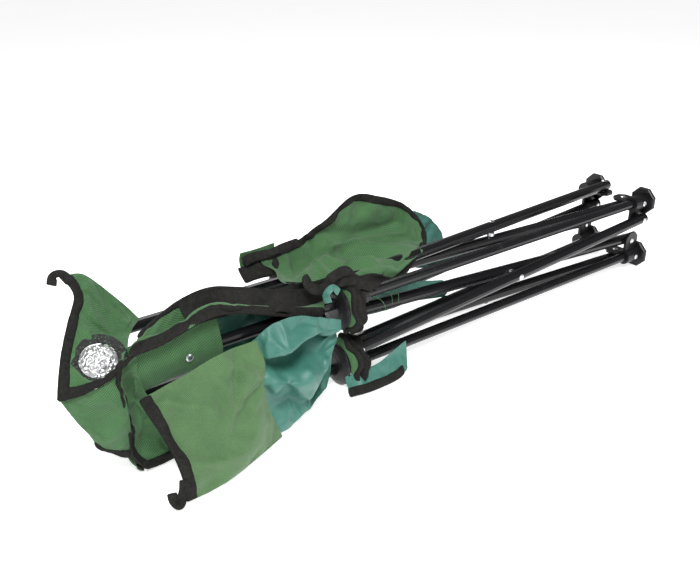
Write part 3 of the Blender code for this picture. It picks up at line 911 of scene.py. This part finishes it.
# ---- sub-assemblies -----------------------------------------------------------------------------
@dataclass
class Backrest:
    """The backrest folded over the back posts: hem panel, coated reverse and post sleeves."""

    wear: Wardrobe

    hem: Sequence[Sequence[Point]] = (
        ((-0.499, -0.036, 0.105), (-0.448, -0.037, 0.116), (-0.397, -0.037, 0.128), (-0.347, -0.034, 0.128)),
        ((-0.496, -0.055, 0.091), (-0.446, -0.060, 0.094), (-0.395, -0.054, 0.104), (-0.343, -0.045, 0.101)),
        ((-0.489, -0.072, 0.068), (-0.442, -0.074, 0.068), (-0.393, -0.066, 0.076), (-0.350, -0.052, 0.076)),
        ((-0.485, -0.090, 0.044), (-0.438, -0.086, 0.044), (-0.390, -0.074, 0.050), (-0.347, -0.056, 0.044)),
        ((-0.484, -0.100, 0.023), (-0.434, -0.094, 0.022), (-0.388, -0.080, 0.024), (-0.340, -0.059, 0.020)),
        ((-0.485, -0.104, 0.004), (-0.432, -0.098, 0.001), (-0.386, -0.083, 0.001), (-0.333, -0.062, 0.001)),
    )
    hem_folds: Sequence[Fold] = (
        Fold((-0.476, -0.048, 0.100), (-0.425, -0.066, 0.080), 0.008, 0.018),
        Fold((-0.400, -0.044, 0.124), (-0.356, -0.056, 0.088), 0.012, 0.016),
        Fold((-0.378, -0.040, 0.126), (-0.392, -0.066, 0.078), -0.009, 0.013),
        Fold((-0.440, -0.090, 0.036), (-0.400, -0.066, 0.070), 0.005, 0.022),
        Fold((-0.354, -0.050, 0.080), (-0.392, -0.068, 0.062), -0.008, 0.013),
        Fold((-0.430, -0.040, 0.118), (-0.412, -0.066, 0.086), -0.006, 0.014),
    )
    reverse: Sequence[Sequence[Point]] = (
        ((-0.353, -0.027, 0.121), (-0.328, -0.034, 0.141), (-0.292, -0.034, 0.142), (-0.259, -0.030, 0.129),
         (-0.214, -0.023, 0.108)),
        ((-0.355, -0.031, 0.116), (-0.328, -0.049, 0.131), (-0.299, -0.048, 0.132), (-0.264, -0.040, 0.123),
         (-0.216, -0.026, 0.102)),
        ((-0.357, -0.036, 0.108), (-0.328, -0.061, 0.119), (-0.299, -0.060, 0.119), (-0.270, -0.050, 0.115),
         (-0.218, -0.028, 0.096)),
        ((-0.357, -0.032, 0.104), (-0.316, -0.018, 0.118), (-0.286, -0.014, 0.118), (-0.258, -0.016, 0.112),
         (-0.218, -0.017, 0.092)),
        ((-0.358, -0.036, 0.092), (-0.318, -0.028, 0.094), (-0.288, -0.026, 0.095), (-0.259, -0.026, 0.094),
         (-0.222, -0.024, 0.084)),
        ((-0.358, -0.044, 0.076), (-0.326, -0.062, 0.080), (-0.297, -0.063, 0.080), (-0.268, -0.052, 0.076),
         (-0.236, -0.034, 0.075)),
        ((-0.354, -0.050, 0.041), (-0.318, -0.046, 0.041), (-0.293, -0.054, 0.042), (-0.270, -0.044, 0.042),
         (-0.244, -0.038, 0.048)),
        ((-0.346, -0.057, 0.003), (-0.314, -0.056, 0.005), (-0.294, -0.052, 0.014), (-0.274, -0.047, 0.020),
         (-0.254, -0.043, 0.030)),
    )
    reverse_folds: Sequence[Fold] = (
        Fold((-0.322, -0.060, 0.082), (-0.310, -0.056, 0.006), -0.012, 0.013),
        Fold((-0.336, -0.058, 0.070), (-0.326, -0.058, 0.012), 0.008, 0.012),
        Fold((-0.292, -0.060, 0.080), (-0.286, -0.050, 0.018), 0.010, 0.014),
        Fold((-0.262, -0.046, 0.078), (-0.272, -0.046, 0.030), -0.010, 0.012),
        Fold((-0.340, -0.044, 0.126), (-0.262, -0.040, 0.122), 0.006, 0.014),
    )
    curl: Sequence[Point] = (
        (-0.484, -0.099, 0.030), (-0.489, -0.103, 0.016), (-0.494, -0.104, 0.005), (-0.499, -0.102, 0.010),
        (-0.500, -0.100, 0.020),
    )
    upper_reverse: Sequence[Sequence[Point]] = (
        ((-0.375, 0.012, 0.150), (-0.330, 0.010, 0.152), (-0.285, 0.008, 0.146), (-0.240, 0.006, 0.136)),
        ((-0.375, 0.014, 0.136), (-0.330, 0.012, 0.138), (-0.285, 0.011, 0.134), (-0.240, 0.010, 0.128)),
        ((-0.400, 0.004, 0.084), (-0.345, 0.004, 0.086), (-0.290, 0.006, 0.088), (-0.225, 0.008, 0.090)),
    )

    def build(self) -> None:
        """Builds and places the backrest's pieces."""
        wear = self.wear
        panel = Cloth("back_hem_panel", self.hem, wear.dull_green, wear.teal, 0.0030, 16.0, 0.04, 0.1, 2.0,
                      folds=self.hem_folds)
        place_sheet(panel, BACK_SPREAD, ["back_cloth_c", "back_cloth_b"])
        place(binding("back_hem_binding", panel, "left", wear.webbing, 0.0140), BACK_SPREAD)
        curl = tape_through("back_hem_curl", self.curl, wear.webbing, 0.0115, (-0.20, -0.60, 0.77), 30,
                            0.0012, 4.0)
        place(curl, BACK_SPREAD)
        teal = Cloth("back_reverse", self.reverse, wear.teal, wear.green, 0.0030, 24.0, 0.06, 0.2, 5.0,
                     folds=self.reverse_folds)
        place_sheet(teal, BACK_SPREAD)
        behind = Cloth("back_reverse_upper", self.upper_reverse, wear.teal, wear.green, 0.002, 24.0,
                       0.06, 0.1, 7.0)
        place_sheet(behind, Body.BACK_UPPER)
        self._sleeve("b", Body.BACK_UPPER)
        self._sleeve("c", Body.BACK_LOWER)

    def _sleeve(self, corner: str, on: Body) -> None:
        """A flattened sleeve round the top of a back post, screwed to it."""
        height = (DATUM.post_b_height if corner == "b" else DATUM.post_b_height - DATUM.spacing)
        tall, below = (0.034, 0.028) if corner == "b" else (0.026, 0.0128)
        loops = 24
        rows = []
        for turn_step in range(loops + 1):
            turn = 2 * math.pi * turn_step / loops
            side, rise = math.sin(turn), math.cos(turn)
            y = -0.0122 * side * (1 - 0.55 * max(rise, 0.0))
            z = height + (tall if rise > 0 else below) * rise
            row = []
            for k in range(5):
                share = k / 4
                x = -0.492 + 0.112 * share
                flare = 1 + 0.12 * (1 - share) * math.cos(2 * turn)
                slope = 0.004 * math.sin(share * math.pi) - 0.003 * (1 - share)
                row.append((x, y * flare, z + slope))
            rows.append(row)
        cloth = Cloth(f"back_sleeve_cloth_{corner}", rows, self.wear.green, self.wear.teal, 0.0010,
                      34.0, 0.0, 0.0, 9.0, 0.0035)
        place_sheet(cloth, on, [f"back_sleeve_{corner}"])


@dataclass
class Seat:
    """The seat cloth: an open pouch above the folded frame, a flap below it and a hanging middle."""

    wear: Wardrobe

    pouch: Sequence[Sequence[Point]] = (
        ((-0.256, 0.100, 0.165), (-0.222, 0.100, 0.168), (-0.190, 0.100, 0.176), (-0.150, 0.100, 0.193),
         (-0.100, 0.100, 0.219), (-0.053, 0.100, 0.208), (-0.006, 0.100, 0.187), (0.023, 0.095, 0.158),
         (0.028, 0.085, 0.140)),
        ((-0.256, 0.096, 0.156), (-0.226, 0.096, 0.157), (-0.192, 0.099, 0.162), (-0.150, 0.104, 0.176),
         (-0.100, 0.110, 0.194), (-0.053, 0.108, 0.186), (-0.008, 0.100, 0.167), (0.014, 0.086, 0.148),
         (0.019, 0.073, 0.135)),
        ((-0.246, 0.084, 0.149), (-0.222, 0.080, 0.147), (-0.190, 0.082, 0.149), (-0.150, 0.086, 0.154),
         (-0.100, 0.092, 0.158), (-0.056, 0.090, 0.153), (-0.018, 0.080, 0.146), (0.000, 0.069, 0.138),
         (0.007, 0.061, 0.132)),
        ((-0.252, 0.062, 0.145), (-0.226, 0.054, 0.145), (-0.194, 0.048, 0.148), (-0.160, 0.038, 0.151),
         (-0.124, 0.028, 0.152), (-0.088, 0.026, 0.150), (-0.052, 0.030, 0.150), (-0.026, 0.040, 0.146),
         (-0.012, 0.048, 0.140)),
        ((-0.250, 0.040, 0.146), (-0.222, 0.026, 0.147), (-0.192, 0.012, 0.152), (-0.162, 0.006, 0.140),
         (-0.131, 0.010, 0.128), (-0.098, 0.016, 0.114), (-0.066, 0.022, 0.116), (-0.042, 0.030, 0.130),
         (-0.028, 0.038, 0.138)),
    )
    pouch_folds: Sequence[Fold] = (
        Fold((-0.165, 0.102, 0.178), (-0.015, 0.100, 0.162), -0.014, 0.016),
        Fold((-0.155, 0.098, 0.164), (-0.020, 0.092, 0.152), 0.010, 0.018),
        Fold((-0.215, 0.056, 0.148), (-0.150, 0.090, 0.160), 0.018, 0.017),
        Fold((-0.215, 0.036, 0.148), (-0.130, 0.062, 0.154), -0.014, 0.015),
        Fold((-0.165, 0.070, 0.154), (-0.120, 0.030, 0.149), 0.014, 0.016),
        Fold((-0.210, 0.080, 0.152), (-0.180, 0.100, 0.170), -0.014, 0.016),
        Fold((-0.130, 0.074, 0.156), (-0.075, 0.034, 0.146), -0.010, 0.015),
        Fold((-0.110, 0.090, 0.158), (-0.030, 0.040, 0.140), 0.010, 0.016),
        Fold((-0.185, 0.070, 0.152), (-0.180, 0.024, 0.152), 0.012, 0.013),
    )
    pouch_tail: Sequence[Point] = (
        (-0.193, 0.101, 0.171), (-0.218, 0.101, 0.169), (-0.245, 0.101, 0.167), (-0.268, 0.102, 0.167),
        (-0.282, 0.102, 0.163),
    )
    corner_bunch: Sequence[Point] = (
        (-0.222, 0.094, 0.150), (-0.244, 0.095, 0.150), (-0.266, 0.096, 0.149), (-0.289, 0.097, 0.148),
    )
    corner_patch: Sequence[Sequence[Point]] = (
        ((-0.282, 0.110, 0.174), (-0.258, 0.110, 0.174), (-0.228, 0.110, 0.176)),
        ((-0.284, 0.110, 0.164), (-0.258, 0.110, 0.164), (-0.228, 0.110, 0.166)),
        ((-0.284, 0.108, 0.154), (-0.258, 0.108, 0.154), (-0.228, 0.108, 0.156)),
    )
    outside: Sequence[Sequence[Point]] = (
        ((0.020, 0.106, 0.170), (0.042, 0.110, 0.158), (0.060, 0.112, 0.148)),
        ((0.032, 0.108, 0.140), (0.060, 0.110, 0.134), (0.086, 0.110, 0.118)),
        ((0.032, 0.106, 0.104), (0.062, 0.108, 0.100), (0.092, 0.110, 0.092)),
        ((0.024, 0.100, 0.074), (0.050, 0.102, 0.068), (0.084, 0.106, 0.074)),
    )
    flap: Sequence[Sequence[Point]] = (
        ((-0.212, -0.028, 0.024), (-0.190, -0.030, 0.026), (-0.160, -0.032, 0.028), (-0.130, -0.026, 0.032),
         (-0.100, -0.022, 0.040)),
        ((-0.214, -0.036, 0.013), (-0.190, -0.040, 0.013), (-0.160, -0.042, 0.014), (-0.130, -0.036, 0.018),
         (-0.104, -0.029, 0.022)),
        ((-0.216, -0.043, 0.003), (-0.190, -0.048, 0.003), (-0.160, -0.049, 0.003), (-0.132, -0.046, 0.003),
         (-0.110, -0.039, 0.006)),
    )
    middle: Sequence[Sequence[Point]] = (
        ((-0.120, 0.048, 0.088), (-0.070, 0.052, 0.086), (-0.020, 0.052, 0.080), (0.040, 0.054, 0.066)),
        ((-0.120, 0.050, 0.070), (-0.070, 0.056, 0.066), (-0.015, 0.050, 0.060), (0.056, 0.052, 0.050)),
        ((-0.120, 0.050, 0.054), (-0.070, 0.050, 0.050), (-0.020, 0.054, 0.046), (0.044, 0.052, 0.036)),
    )

    def build(self) -> None:
        """Builds and places the seat's pieces."""
        wear = self.wear
        pouch = Cloth("seat_pouch", self.pouch, wear.green, wear.teal, 0.0035, 17.0, 0.07, 0.2, 11.0,
                      folds=self.pouch_folds)
        place_sheet(pouch, SEAT_SPREAD,
                    ["seat_lobe_a", "seat_lobe_b"])
        for side, name in (("top", "far"), ("bottom", "near"), ("right", "end")):
            place(binding(f"seat_pouch_binding_{name}", pouch, side, wear.webbing, 0.0125,
                          thickness=0.0032), SEAT_SPREAD)
        tail = tape_through("seat_pouch_binding_tail", self.pouch_tail, wear.webbing, 0.014,
                            (-0.45, -0.60, 0.66), 60, 0.0015, 12.0)
        place(tail, SEAT_SPREAD)
        bunch = tape_through("seat_corner_bunch", self.corner_bunch, wear.webbing, 0.026,
                             (-0.50, -0.62, 0.60), 50, 0.003, 16.0, 0.0080)
        place(bunch, SEAT_SPREAD)
        patch = Cloth("seat_corner_patch", self.corner_patch, wear.green, wear.teal, 0.0015, 24.0, 0.02,
                      0.1, 14.0)
        place_sheet(patch, SEAT_SPREAD)
        outer = Cloth("seat_pouch_outside", self.outside, wear.teal, wear.green, 0.003, 20.0, 0.06,
                      0.1, 13.0)
        place_sheet(outer, SEAT_SPREAD)
        flap = Cloth("seat_flap", self.flap, wear.teal, wear.green, 0.002, 22.0, 0.05, 0.2, 17.0)
        place_sheet(flap, FLAP_SPREAD, ["seat_flap_c", "seat_flap_d"])
        place(binding("seat_flap_binding", flap, "bottom", wear.webbing, 0.0125, (0, 0.90)), FLAP_SPREAD)
        hung = Cloth("seat_middle", self.middle, wear.teal, wear.green, 0.004, 22.0, 0.05, 0.2, 19.0)
        place_sheet(hung, FLAP_SPREAD)


@dataclass
class CupArm:
    """The upper arm strip and its front end with the insulated cup pocket."""

    wear: Wardrobe

    strip: Sequence[Sequence[Point]] = (
        ((-0.516, -0.016, 0.120), (-0.494, -0.018, 0.147), (-0.456, -0.018, 0.152), (-0.398, -0.018, 0.166),
         (-0.358, -0.017, 0.160), (-0.304, -0.015, 0.138), (-0.236, -0.012, 0.112)),
        ((-0.510, -0.013, 0.134), (-0.487, -0.013, 0.164), (-0.452, -0.013, 0.169), (-0.396, -0.013, 0.183),
         (-0.356, -0.012, 0.176), (-0.300, -0.011, 0.152), (-0.230, -0.008, 0.126)),
        ((-0.494, 0.008, 0.138), (-0.472, 0.008, 0.150), (-0.438, 0.008, 0.154), (-0.386, 0.008, 0.160),
         (-0.348, 0.008, 0.155), (-0.294, 0.006, 0.143), (-0.222, 0.006, 0.132)),
        ((-0.474, 0.022, 0.140), (-0.460, 0.022, 0.148), (-0.432, 0.022, 0.150), (-0.376, 0.022, 0.152),
         (-0.340, 0.022, 0.150), (-0.282, 0.020, 0.141), (-0.212, 0.016, 0.132)),
        ((-0.458, 0.042, 0.140), (-0.444, 0.042, 0.150), (-0.405, 0.045, 0.166), (-0.365, 0.045, 0.171),
         (-0.325, 0.044, 0.161), (-0.262, 0.038, 0.141), (-0.190, 0.030, 0.128)),
    )
    end: Sequence[Sequence[Point]] = (
        ((-0.529, 0.070, 0.222), (-0.506, 0.067, 0.221), (-0.484, 0.066, 0.197), (-0.466, 0.062, 0.174),
         (-0.451, 0.055, 0.152)),
        ((-0.521, 0.058, 0.202), (-0.502, 0.056, 0.198), (-0.486, 0.054, 0.180), (-0.474, 0.050, 0.163),
         (-0.462, 0.046, 0.150)),
        ((-0.537, 0.045, 0.176), (-0.518, 0.044, 0.172), (-0.500, 0.042, 0.160), (-0.486, 0.038, 0.150),
         (-0.474, 0.034, 0.146)),
        ((-0.552, 0.030, 0.155), (-0.534, 0.029, 0.151), (-0.514, 0.027, 0.147), (-0.498, 0.022, 0.143),
         (-0.484, 0.018, 0.142)),
        ((-0.566, 0.008, 0.136), (-0.548, 0.006, 0.132), (-0.528, 0.004, 0.130), (-0.510, 0.002, 0.133),
         (-0.494, 0.002, 0.143)),
        ((-0.575, -0.006, 0.118), (-0.556, -0.012, 0.119), (-0.538, -0.014, 0.123), (-0.520, -0.015, 0.128),
         (-0.506, -0.016, 0.140)),
    )
    end_folds: Sequence[Fold] = (
        Fold((-0.505, 0.060, 0.206), (-0.470, 0.046, 0.156), 0.004, 0.012),
        Fold((-0.525, 0.050, 0.186), (-0.490, 0.040, 0.152), -0.004, 0.014),
    )
    pouch: Sequence[Sequence[Point]] = (
        ((-0.574, -0.003, 0.120), (-0.552, -0.009, 0.119), (-0.530, -0.012, 0.122), (-0.508, -0.014, 0.134)),
        ((-0.560, -0.010, 0.086), (-0.540, -0.020, 0.082), (-0.520, -0.026, 0.082), (-0.508, -0.026, 0.086)),
        ((-0.550, -0.012, 0.066), (-0.533, -0.018, 0.056), (-0.517, -0.023, 0.050), (-0.509, -0.024, 0.050)),
        ((-0.544, -0.012, 0.048), (-0.530, -0.014, 0.036), (-0.520, -0.017, 0.028), (-0.512, -0.021, 0.026)),
    )
    fold: Sequence[Point] = (
        (-0.420, 0.004, 0.168), (-0.386, 0.002, 0.170), (-0.346, 0.001, 0.165), (-0.300, 0.000, 0.150),
        (-0.262, 0.000, 0.138), (-0.226, 0.000, 0.129),
    )
    mouth: Point = (-0.520, 0.013, 0.139)
    mouth_radius: float = 0.0245

    def build(self) -> None:
        """Builds and places the arm strip's pieces."""
        wear = self.wear
        strip = Cloth("arm_strip_cloth", self.strip, wear.green, wear.green, 0.0014, 20.0, 0.015, 0.1, 23.0)
        place_sheet(strip, ARM_SPREAD, ["arm_strip_a"])
        place(binding("arm_binding_near", strip, "top", wear.webbing, 0.0165), ARM_SPREAD)
        place(binding("arm_binding_far", strip, "bottom", wear.webbing, 0.0140), ARM_SPREAD)
        fold = tape_through("arm_binding_fold", self.fold, wear.webbing, 0.034, (-0.20, -0.62, 0.76), 60,
                            0.0012, 25.0)
        place(fold, ARM_SPREAD)
        end = Cloth("arm_end_cloth", self.end, wear.green, wear.green, 0.0022, 24.0, 0.04, 0.1, 29.0,
                    0.0025, hole=(self.mouth, self.mouth_radius), folds=self.end_folds)
        place_sheet(end, Body.ARM_UPPER, ["cup_pocket"])
        place(binding("arm_end_binding_left", end, "left", wear.webbing, 0.0120), Body.ARM_UPPER)
        place(binding("arm_end_binding_low", end, "bottom", wear.webbing, 0.0150), Body.ARM_UPPER)
        curl = tape_through("arm_end_curl", ((-0.521, 0.064, 0.216), (-0.528, 0.069, 0.226),
                                             (-0.536, 0.072, 0.224), (-0.540, 0.071, 0.214)),
                            wear.webbing, 0.012, (-0.20, -0.60, 0.77), 30, 0.001, 27.0)
        place(curl, Body.ARM_UPPER)
        pouch = Cloth("cup_pocket_outside", self.pouch, wear.green, wear.teal, 0.0024, 26.0, 0.05, 0.1,
                      31.0, 0.003)
        place_sheet(pouch, Body.ARM_UPPER)
        place(binding("cup_pocket_binding", pouch, "bottom", wear.webbing, 0.011), Body.ARM_UPPER)
        self._liner()

    def _liner(self) -> None:
        """The crinkled foil liner with the net round its mouth."""
        centre = DATUM.at(*self.mouth)
        facing = Vector((-0.15, -0.60, 0.78)).normalized()
        side = facing.cross(Vector((0, 0, 1))).normalized()
        up = side.cross(facing)
        rings, sides = 22, 72
        bm = bmesh.new()
        made = []
        for j in range(rings + 1):
            share = j / rings
            radius = self.mouth_radius * (1.02 - 0.12 * share ** 2) * math.cos(share * math.pi / 2) ** 0.45
            deep = 0.012 - 0.026 * math.sin(share * math.pi / 2)
            ring = []
            for k in range(sides):
                turn = 2 * math.pi * k / sides
                spot = side * math.cos(turn) * radius + up * math.sin(turn) * radius
                place_at = centre + spot - facing * (deep + 0.010)
                lump = crumple(place_at, 70.0, 37.0) * 0.0030 + crumple(place_at, 190.0, 41.0) * 0.0014
                ring.append(bm.verts.new(place_at + facing * lump * min(1.0, 4 * share + 0.2)))
            made.append(ring)
        for low, high in zip(made, made[1:]):
            for k in range(sides):
                m = (k + 1) % sides
                bm.faces.new((low[k], low[m], high[m], high[k]))
        bmesh.ops.remove_doubles(bm, verts=bm.verts, dist=0.00002)
        bmesh.ops.recalc_face_normals(bm, faces=bm.faces)
        liner = link("cup_liner", as_mesh("cup_liner", bm), [self.wear.foil])
        liner.data.shade_smooth()
        place(liner, Body.ARM_UPPER, "foil_liner")
        line = []
        for k in range(81):
            turn = 2 * math.pi * k / 80
            line.append(centre + (side * math.cos(turn) + up * math.sin(turn)) * (self.mouth_radius + 0.002))
        across = [(point - centre).normalized() for point in line]
        net = Ribbon("cup_mouth_net", line, across, self.wear.net, 0.012, 0.0030, 0.002, 43.0).build()
        place(net, Body.ARM_UPPER)


@dataclass
class LowerArm:
    """The lower arm strip that spills out under the cup pocket."""

    wear: Wardrobe

    pocket: Sequence[Sequence[Point]] = (
        ((-0.496, -0.020, 0.152), (-0.492, -0.014, 0.150), (-0.486, -0.013, 0.148)),
        ((-0.512, -0.022, 0.134), (-0.500, -0.008, 0.132), (-0.487, -0.013, 0.128)),
        ((-0.512, -0.023, 0.110), (-0.497, -0.004, 0.108), (-0.484, -0.014, 0.106)),
        ((-0.512, -0.024, 0.086), (-0.494, -0.002, 0.085), (-0.478, -0.014, 0.084)),
        ((-0.511, -0.024, 0.060), (-0.490, -0.004, 0.060), (-0.470, -0.016, 0.058)),
        ((-0.509, -0.025, 0.028), (-0.486, -0.008, 0.030), (-0.464, -0.018, 0.032)),
        ((-0.497, -0.026, 0.006), (-0.478, -0.024, 0.004), (-0.457, -0.024, 0.006)),
    )
    under: Sequence[Sequence[Point]] = (
        ((-0.512, -0.010, 0.040), (-0.490, 0.020, 0.042), (-0.480, 0.060, 0.040), (-0.470, 0.096, 0.034)),
        ((-0.512, -0.020, 0.020), (-0.492, 0.015, 0.022), (-0.478, 0.055, 0.020), (-0.468, 0.096, 0.018)),
        ((-0.500, -0.024, 0.004), (-0.486, 0.010, 0.003), (-0.474, 0.050, 0.003), (-0.462, 0.096, 0.003)),
    )

    def build(self) -> None:
        """Builds and places the lower arm's pieces."""
        wear = self.wear
        pocket = Cloth("lower_arm_pocket", self.pocket, wear.green, wear.green, 0.003, 26.0, 0.06, 0.1,
                       47.0, 0.003)
        place_sheet(pocket, Body.BACK_LOWER)
        place(binding("lower_arm_binding", pocket, "left", wear.webbing, 0.0125), Body.BACK_LOWER)
        place(binding("lower_arm_binding_low", pocket, "bottom", wear.webbing, 0.0110), Body.BACK_LOWER)
        under = Cloth("lower_arm_strip", self.under, wear.green, wear.green, 0.003, 20.0, 0.05, 0.1, 53.0)
        place_sheet(under, LOW_ARM_SPREAD, ["arm_strip_d"])
        place(binding("lower_arm_strip_binding", under, "bottom", wear.webbing), LOW_ARM_SPREAD)


@dataclass
class SeatCorner:
    """A corner of the seat cloth, pinched between a guard disc and its bracket, with its binding."""

    wear: Wardrobe
    corner: str
    on: Body
    centre: Point
    first: float
    last: float
    pleats: int
    seed: float

    reach: float
    flare: float = 0.038
    radius: float = 0.027

    def build(self) -> None:
        """Builds the flared cloth and the bunched binding behind it."""
        rows = [self._arc(share) for share in (0.0, 0.3, 0.6, 1.0)]
        name = f"seat_corner_cloth_{self.corner}"
        cloth = Cloth(name, rows, self.wear.green, self.wear.green, 0.0015, 45.0, 0.0, 0.0, self.seed,
                      0.0030)
        place_sheet(cloth, self.on)
        place(binding(f"seat_corner_binding_{self.corner}", cloth, "bottom", self.wear.webbing, 0.0075),
              self.on)
        for number in range(self.pleats):
            self._pleat(number)

    def _arc(self, share: float) -> list[Point]:
        """One row of the flared cloth, from the disc at 0 to its bound edge at 1."""
        x, y, z = self.centre
        radius = self.radius + (self.flare - self.radius) * share ** 0.8
        made = []
        for step in range(9):
            turn = math.radians(self.first + (self.last - self.first) * step / 8)
            ripple = 0.0028 * share * math.sin(5 * turn + self.seed)
            height = z + (radius + ripple) * math.sin(turn)
            made.append((x + self.reach * share + ripple, y + (radius + ripple) * math.cos(turn),
                         max(height, 0.0005)))
        return made

    def _pleat(self, number: int) -> None:
        """One narrow fold of the bunched binding."""
        x, y, z = self.centre
        share = (number + 1) / (self.pleats + 1)
        points = []
        for step in range(7):
            turn = math.radians(self.first + (self.last - self.first) * (0.06 + 0.88 * step / 6))
            wobble = 0.0022 * math.sin(3.1 * step + 2.3 * number + self.seed)
            radius = self.flare - 0.001 - 0.006 * share + wobble
            points.append((x + self.reach + 0.014 * share + wobble, y + radius * math.cos(turn),
                           max(z + radius * math.sin(turn), 0.002)))
        tape = tape_through(f"seat_corner_pleat_{self.corner}_{number + 1}", points, self.wear.webbing,
                            0.0115, (-0.75, -0.60, 0.25), 46, 0.0028, self.seed + 3 * number, 0.0030)
        place(tape, self.on)


@dataclass
class Gathers:
    """Bunched cloth and binding round the upper brackets, with a loop, a strap and loose threads."""

    wear: Wardrobe

    bow: Sequence[Point] = (
        (-0.236, 0.012, 0.158), (-0.256, -0.006, 0.170), (-0.252, -0.014, 0.160), (-0.236, -0.014, 0.156),
        (-0.217, -0.012, 0.167), (-0.198, -0.010, 0.168), (-0.182, -0.008, 0.152), (-0.162, -0.006, 0.138),
        (-0.140, -0.004, 0.128), (-0.124, 0.002, 0.120),
    )
    bow_under: Sequence[Point] = (
        (-0.250, -0.004, 0.158), (-0.232, -0.008, 0.150), (-0.212, -0.012, 0.156), (-0.192, -0.014, 0.154),
        (-0.174, -0.012, 0.144), (-0.150, -0.008, 0.130),
    )
    loop: Sequence[Point] = (
        (-0.236, -0.026, 0.140), (-0.240, -0.027, 0.153), (-0.230, -0.027, 0.160), (-0.220, -0.026, 0.150),
    )
    strap: Sequence[Point] = (
        (0.018, 0.066, 0.092), (0.036, 0.063, 0.094), (0.058, 0.060, 0.102), (0.080, 0.060, 0.108),
        (0.090, 0.060, 0.100), (0.080, 0.060, 0.090), (0.062, 0.060, 0.087),
    )
    threads: Sequence[tuple[Point, ...]] = (
        ((-0.150, -0.008, 0.118), (-0.138, -0.014, 0.108), (-0.134, -0.018, 0.094)),
        ((-0.128, 0.000, 0.122), (-0.120, -0.010, 0.112), (-0.122, -0.016, 0.100)),
        ((-0.112, 0.004, 0.116), (-0.104, -0.006, 0.108), (-0.110, -0.014, 0.098)),
    )

    def build(self) -> None:
        """Builds and places the bunched tapes."""
        post, low = DATUM.post_b_height, DATUM.post_b_height - DATUM.spacing
        shift = 0.0076
        back = -0.201
        SeatCorner(self.wear, "b", Body.TOP_B, (back, 0.0, post - shift), 84, 258, 3, 3.0, 0.004).build()
        SeatCorner(self.wear, "c", Body.TOP_C, (back, 0.0, low + shift), 70, 262, 3, 7.0, 0.010).build()
        facing = (-0.35, -0.80, 0.48)
        place(tape_through("seat_bow_over", self.bow, self.wear.webbing, 0.014, facing, 70, 0.004, 61.0,
                           0.0036), Body.TOP_B)
        place(tape_through("seat_bow_under", self.bow_under, self.wear.webbing, 0.014, facing, 60, 0.004,
                           63.0, 0.0036), Body.TOP_B)
        place(tape_through("seat_cloth_loop", self.loop, self.wear.teal, 0.010, facing, 40, 0.001, 71.0,
                           0.0016), Body.TOP_B)
        place(tape_through("seat_strap", self.strap, self.wear.teal, 0.011, facing, 50, 0.002, 73.0,
                           0.0018), Body.SIDE_TUBE)
        for number, points in enumerate(self.threads):
            thread = tape_through(f"loose_thread_{number + 1}", points, self.wear.green, 0.0007, facing,
                                  24, 0.0008, 81.0 + number, 0.0007)
            place(thread, Body.TOP_B)


@dataclass
class FrameDress:
    """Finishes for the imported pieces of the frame."""

    wear: Wardrobe

    def build(self) -> None:
        """Gives every shown node of the frame its finish."""
        looks = {"tube_paint": self.wear.paint, "bracket_plastic": self.wear.plastic,
                 "rivet_steel": self.wear.steel, "green_cloth": self.wear.green,
                 "foil_liner": self.wear.foil}
        for part in frame["record"]["subparts"]:
            node = frame["nodes"][part["node"]]
            look = looks[part["material_slot"]]
            if not node.data.materials:
                node.data.materials.append(look)
            for slot in node.material_slots:
                slot.material = look


@dataclass(frozen=True)
class Studio:
    """Floor, soft lights and camera."""

    eye: Point = (-0.7675, -0.7652, 0.5891)
    heading: float = 0.9181
    pitch: float = -0.4474
    lens: float = 41.6

    def build(self) -> None:
        """Sets the stage."""
        scene = bpy.context.scene
        mesh = bpy.data.meshes.new("studio_floor")
        size = 12.0
        mesh.from_pydata([(-size, -size, 0), (size, -size, 0), (size, size, 0), (-size, size, 0)], [],
                         [(0, 1, 2, 3)])
        floor = link("studio_floor", mesh, [FloorFinish("studio_floor").material()])
        world = bpy.data.worlds.new("studio")
        world.use_nodes = True
        world.node_tree.nodes["Background"].inputs[0].default_value = (1.0, 1.0, 1.0, 1.0)
        world.node_tree.nodes["Background"].inputs[1].default_value = 0.20
        scene.world = world
        scene.view_settings.view_transform = "Standard"
        self._light("key", (-0.9, -0.9, 1.9), 0.8, 52.0)
        self._light("fill", (0.6, -1.6, 1.3), 1.4, 10.0)
        self._light("rim", (0.6, 1.3, 1.5), 1.2, 18.0)
        camera = bpy.data.objects.new("camera", bpy.data.cameras.new("camera"))
        scene.collection.objects.link(camera)
        camera.data.lens = self.lens
        camera.data.sensor_width = 36.0
        camera.data.clip_start = 0.01
        camera.location = DATUM.at(*self.eye)
        camera.rotation_euler = (math.pi / 2 + self.pitch, 0.0, self.heading - math.pi / 2)
        scene.camera = camera

    def _light(self, name: str, place_at: Point, size: float, power: float) -> None:
        """A soft square light that faces the chair."""
        data = bpy.data.lights.new(name, "AREA")
        data.shape = "SQUARE"
        data.size = size
        data.energy = power
        lamp = bpy.data.objects.new(name, data)
        bpy.context.scene.collection.objects.link(lamp)
        lamp.location = DATUM.at(*place_at)
        aim = DATUM.at(-0.1, 0.0, 0.08) - lamp.location
        lamp.rotation_euler = aim.to_track_quat("-Z", "Y").to_euler()


def main() -> None:
    """Builds the looks of the chair, part by part."""
    logging.basicConfig(level=logging.INFO, format="%(name)s %(message)s")
    Studio().build()
    wear = Wardrobe()
    FrameDress(wear).build()
    for part in (Backrest(wear), Seat(wear), CupArm(wear), LowerArm(wear), Gathers(wear)):
        LOG.info("building %s", type(part).__name__)
        part.build()


if __name__ == "__main__":
    main()
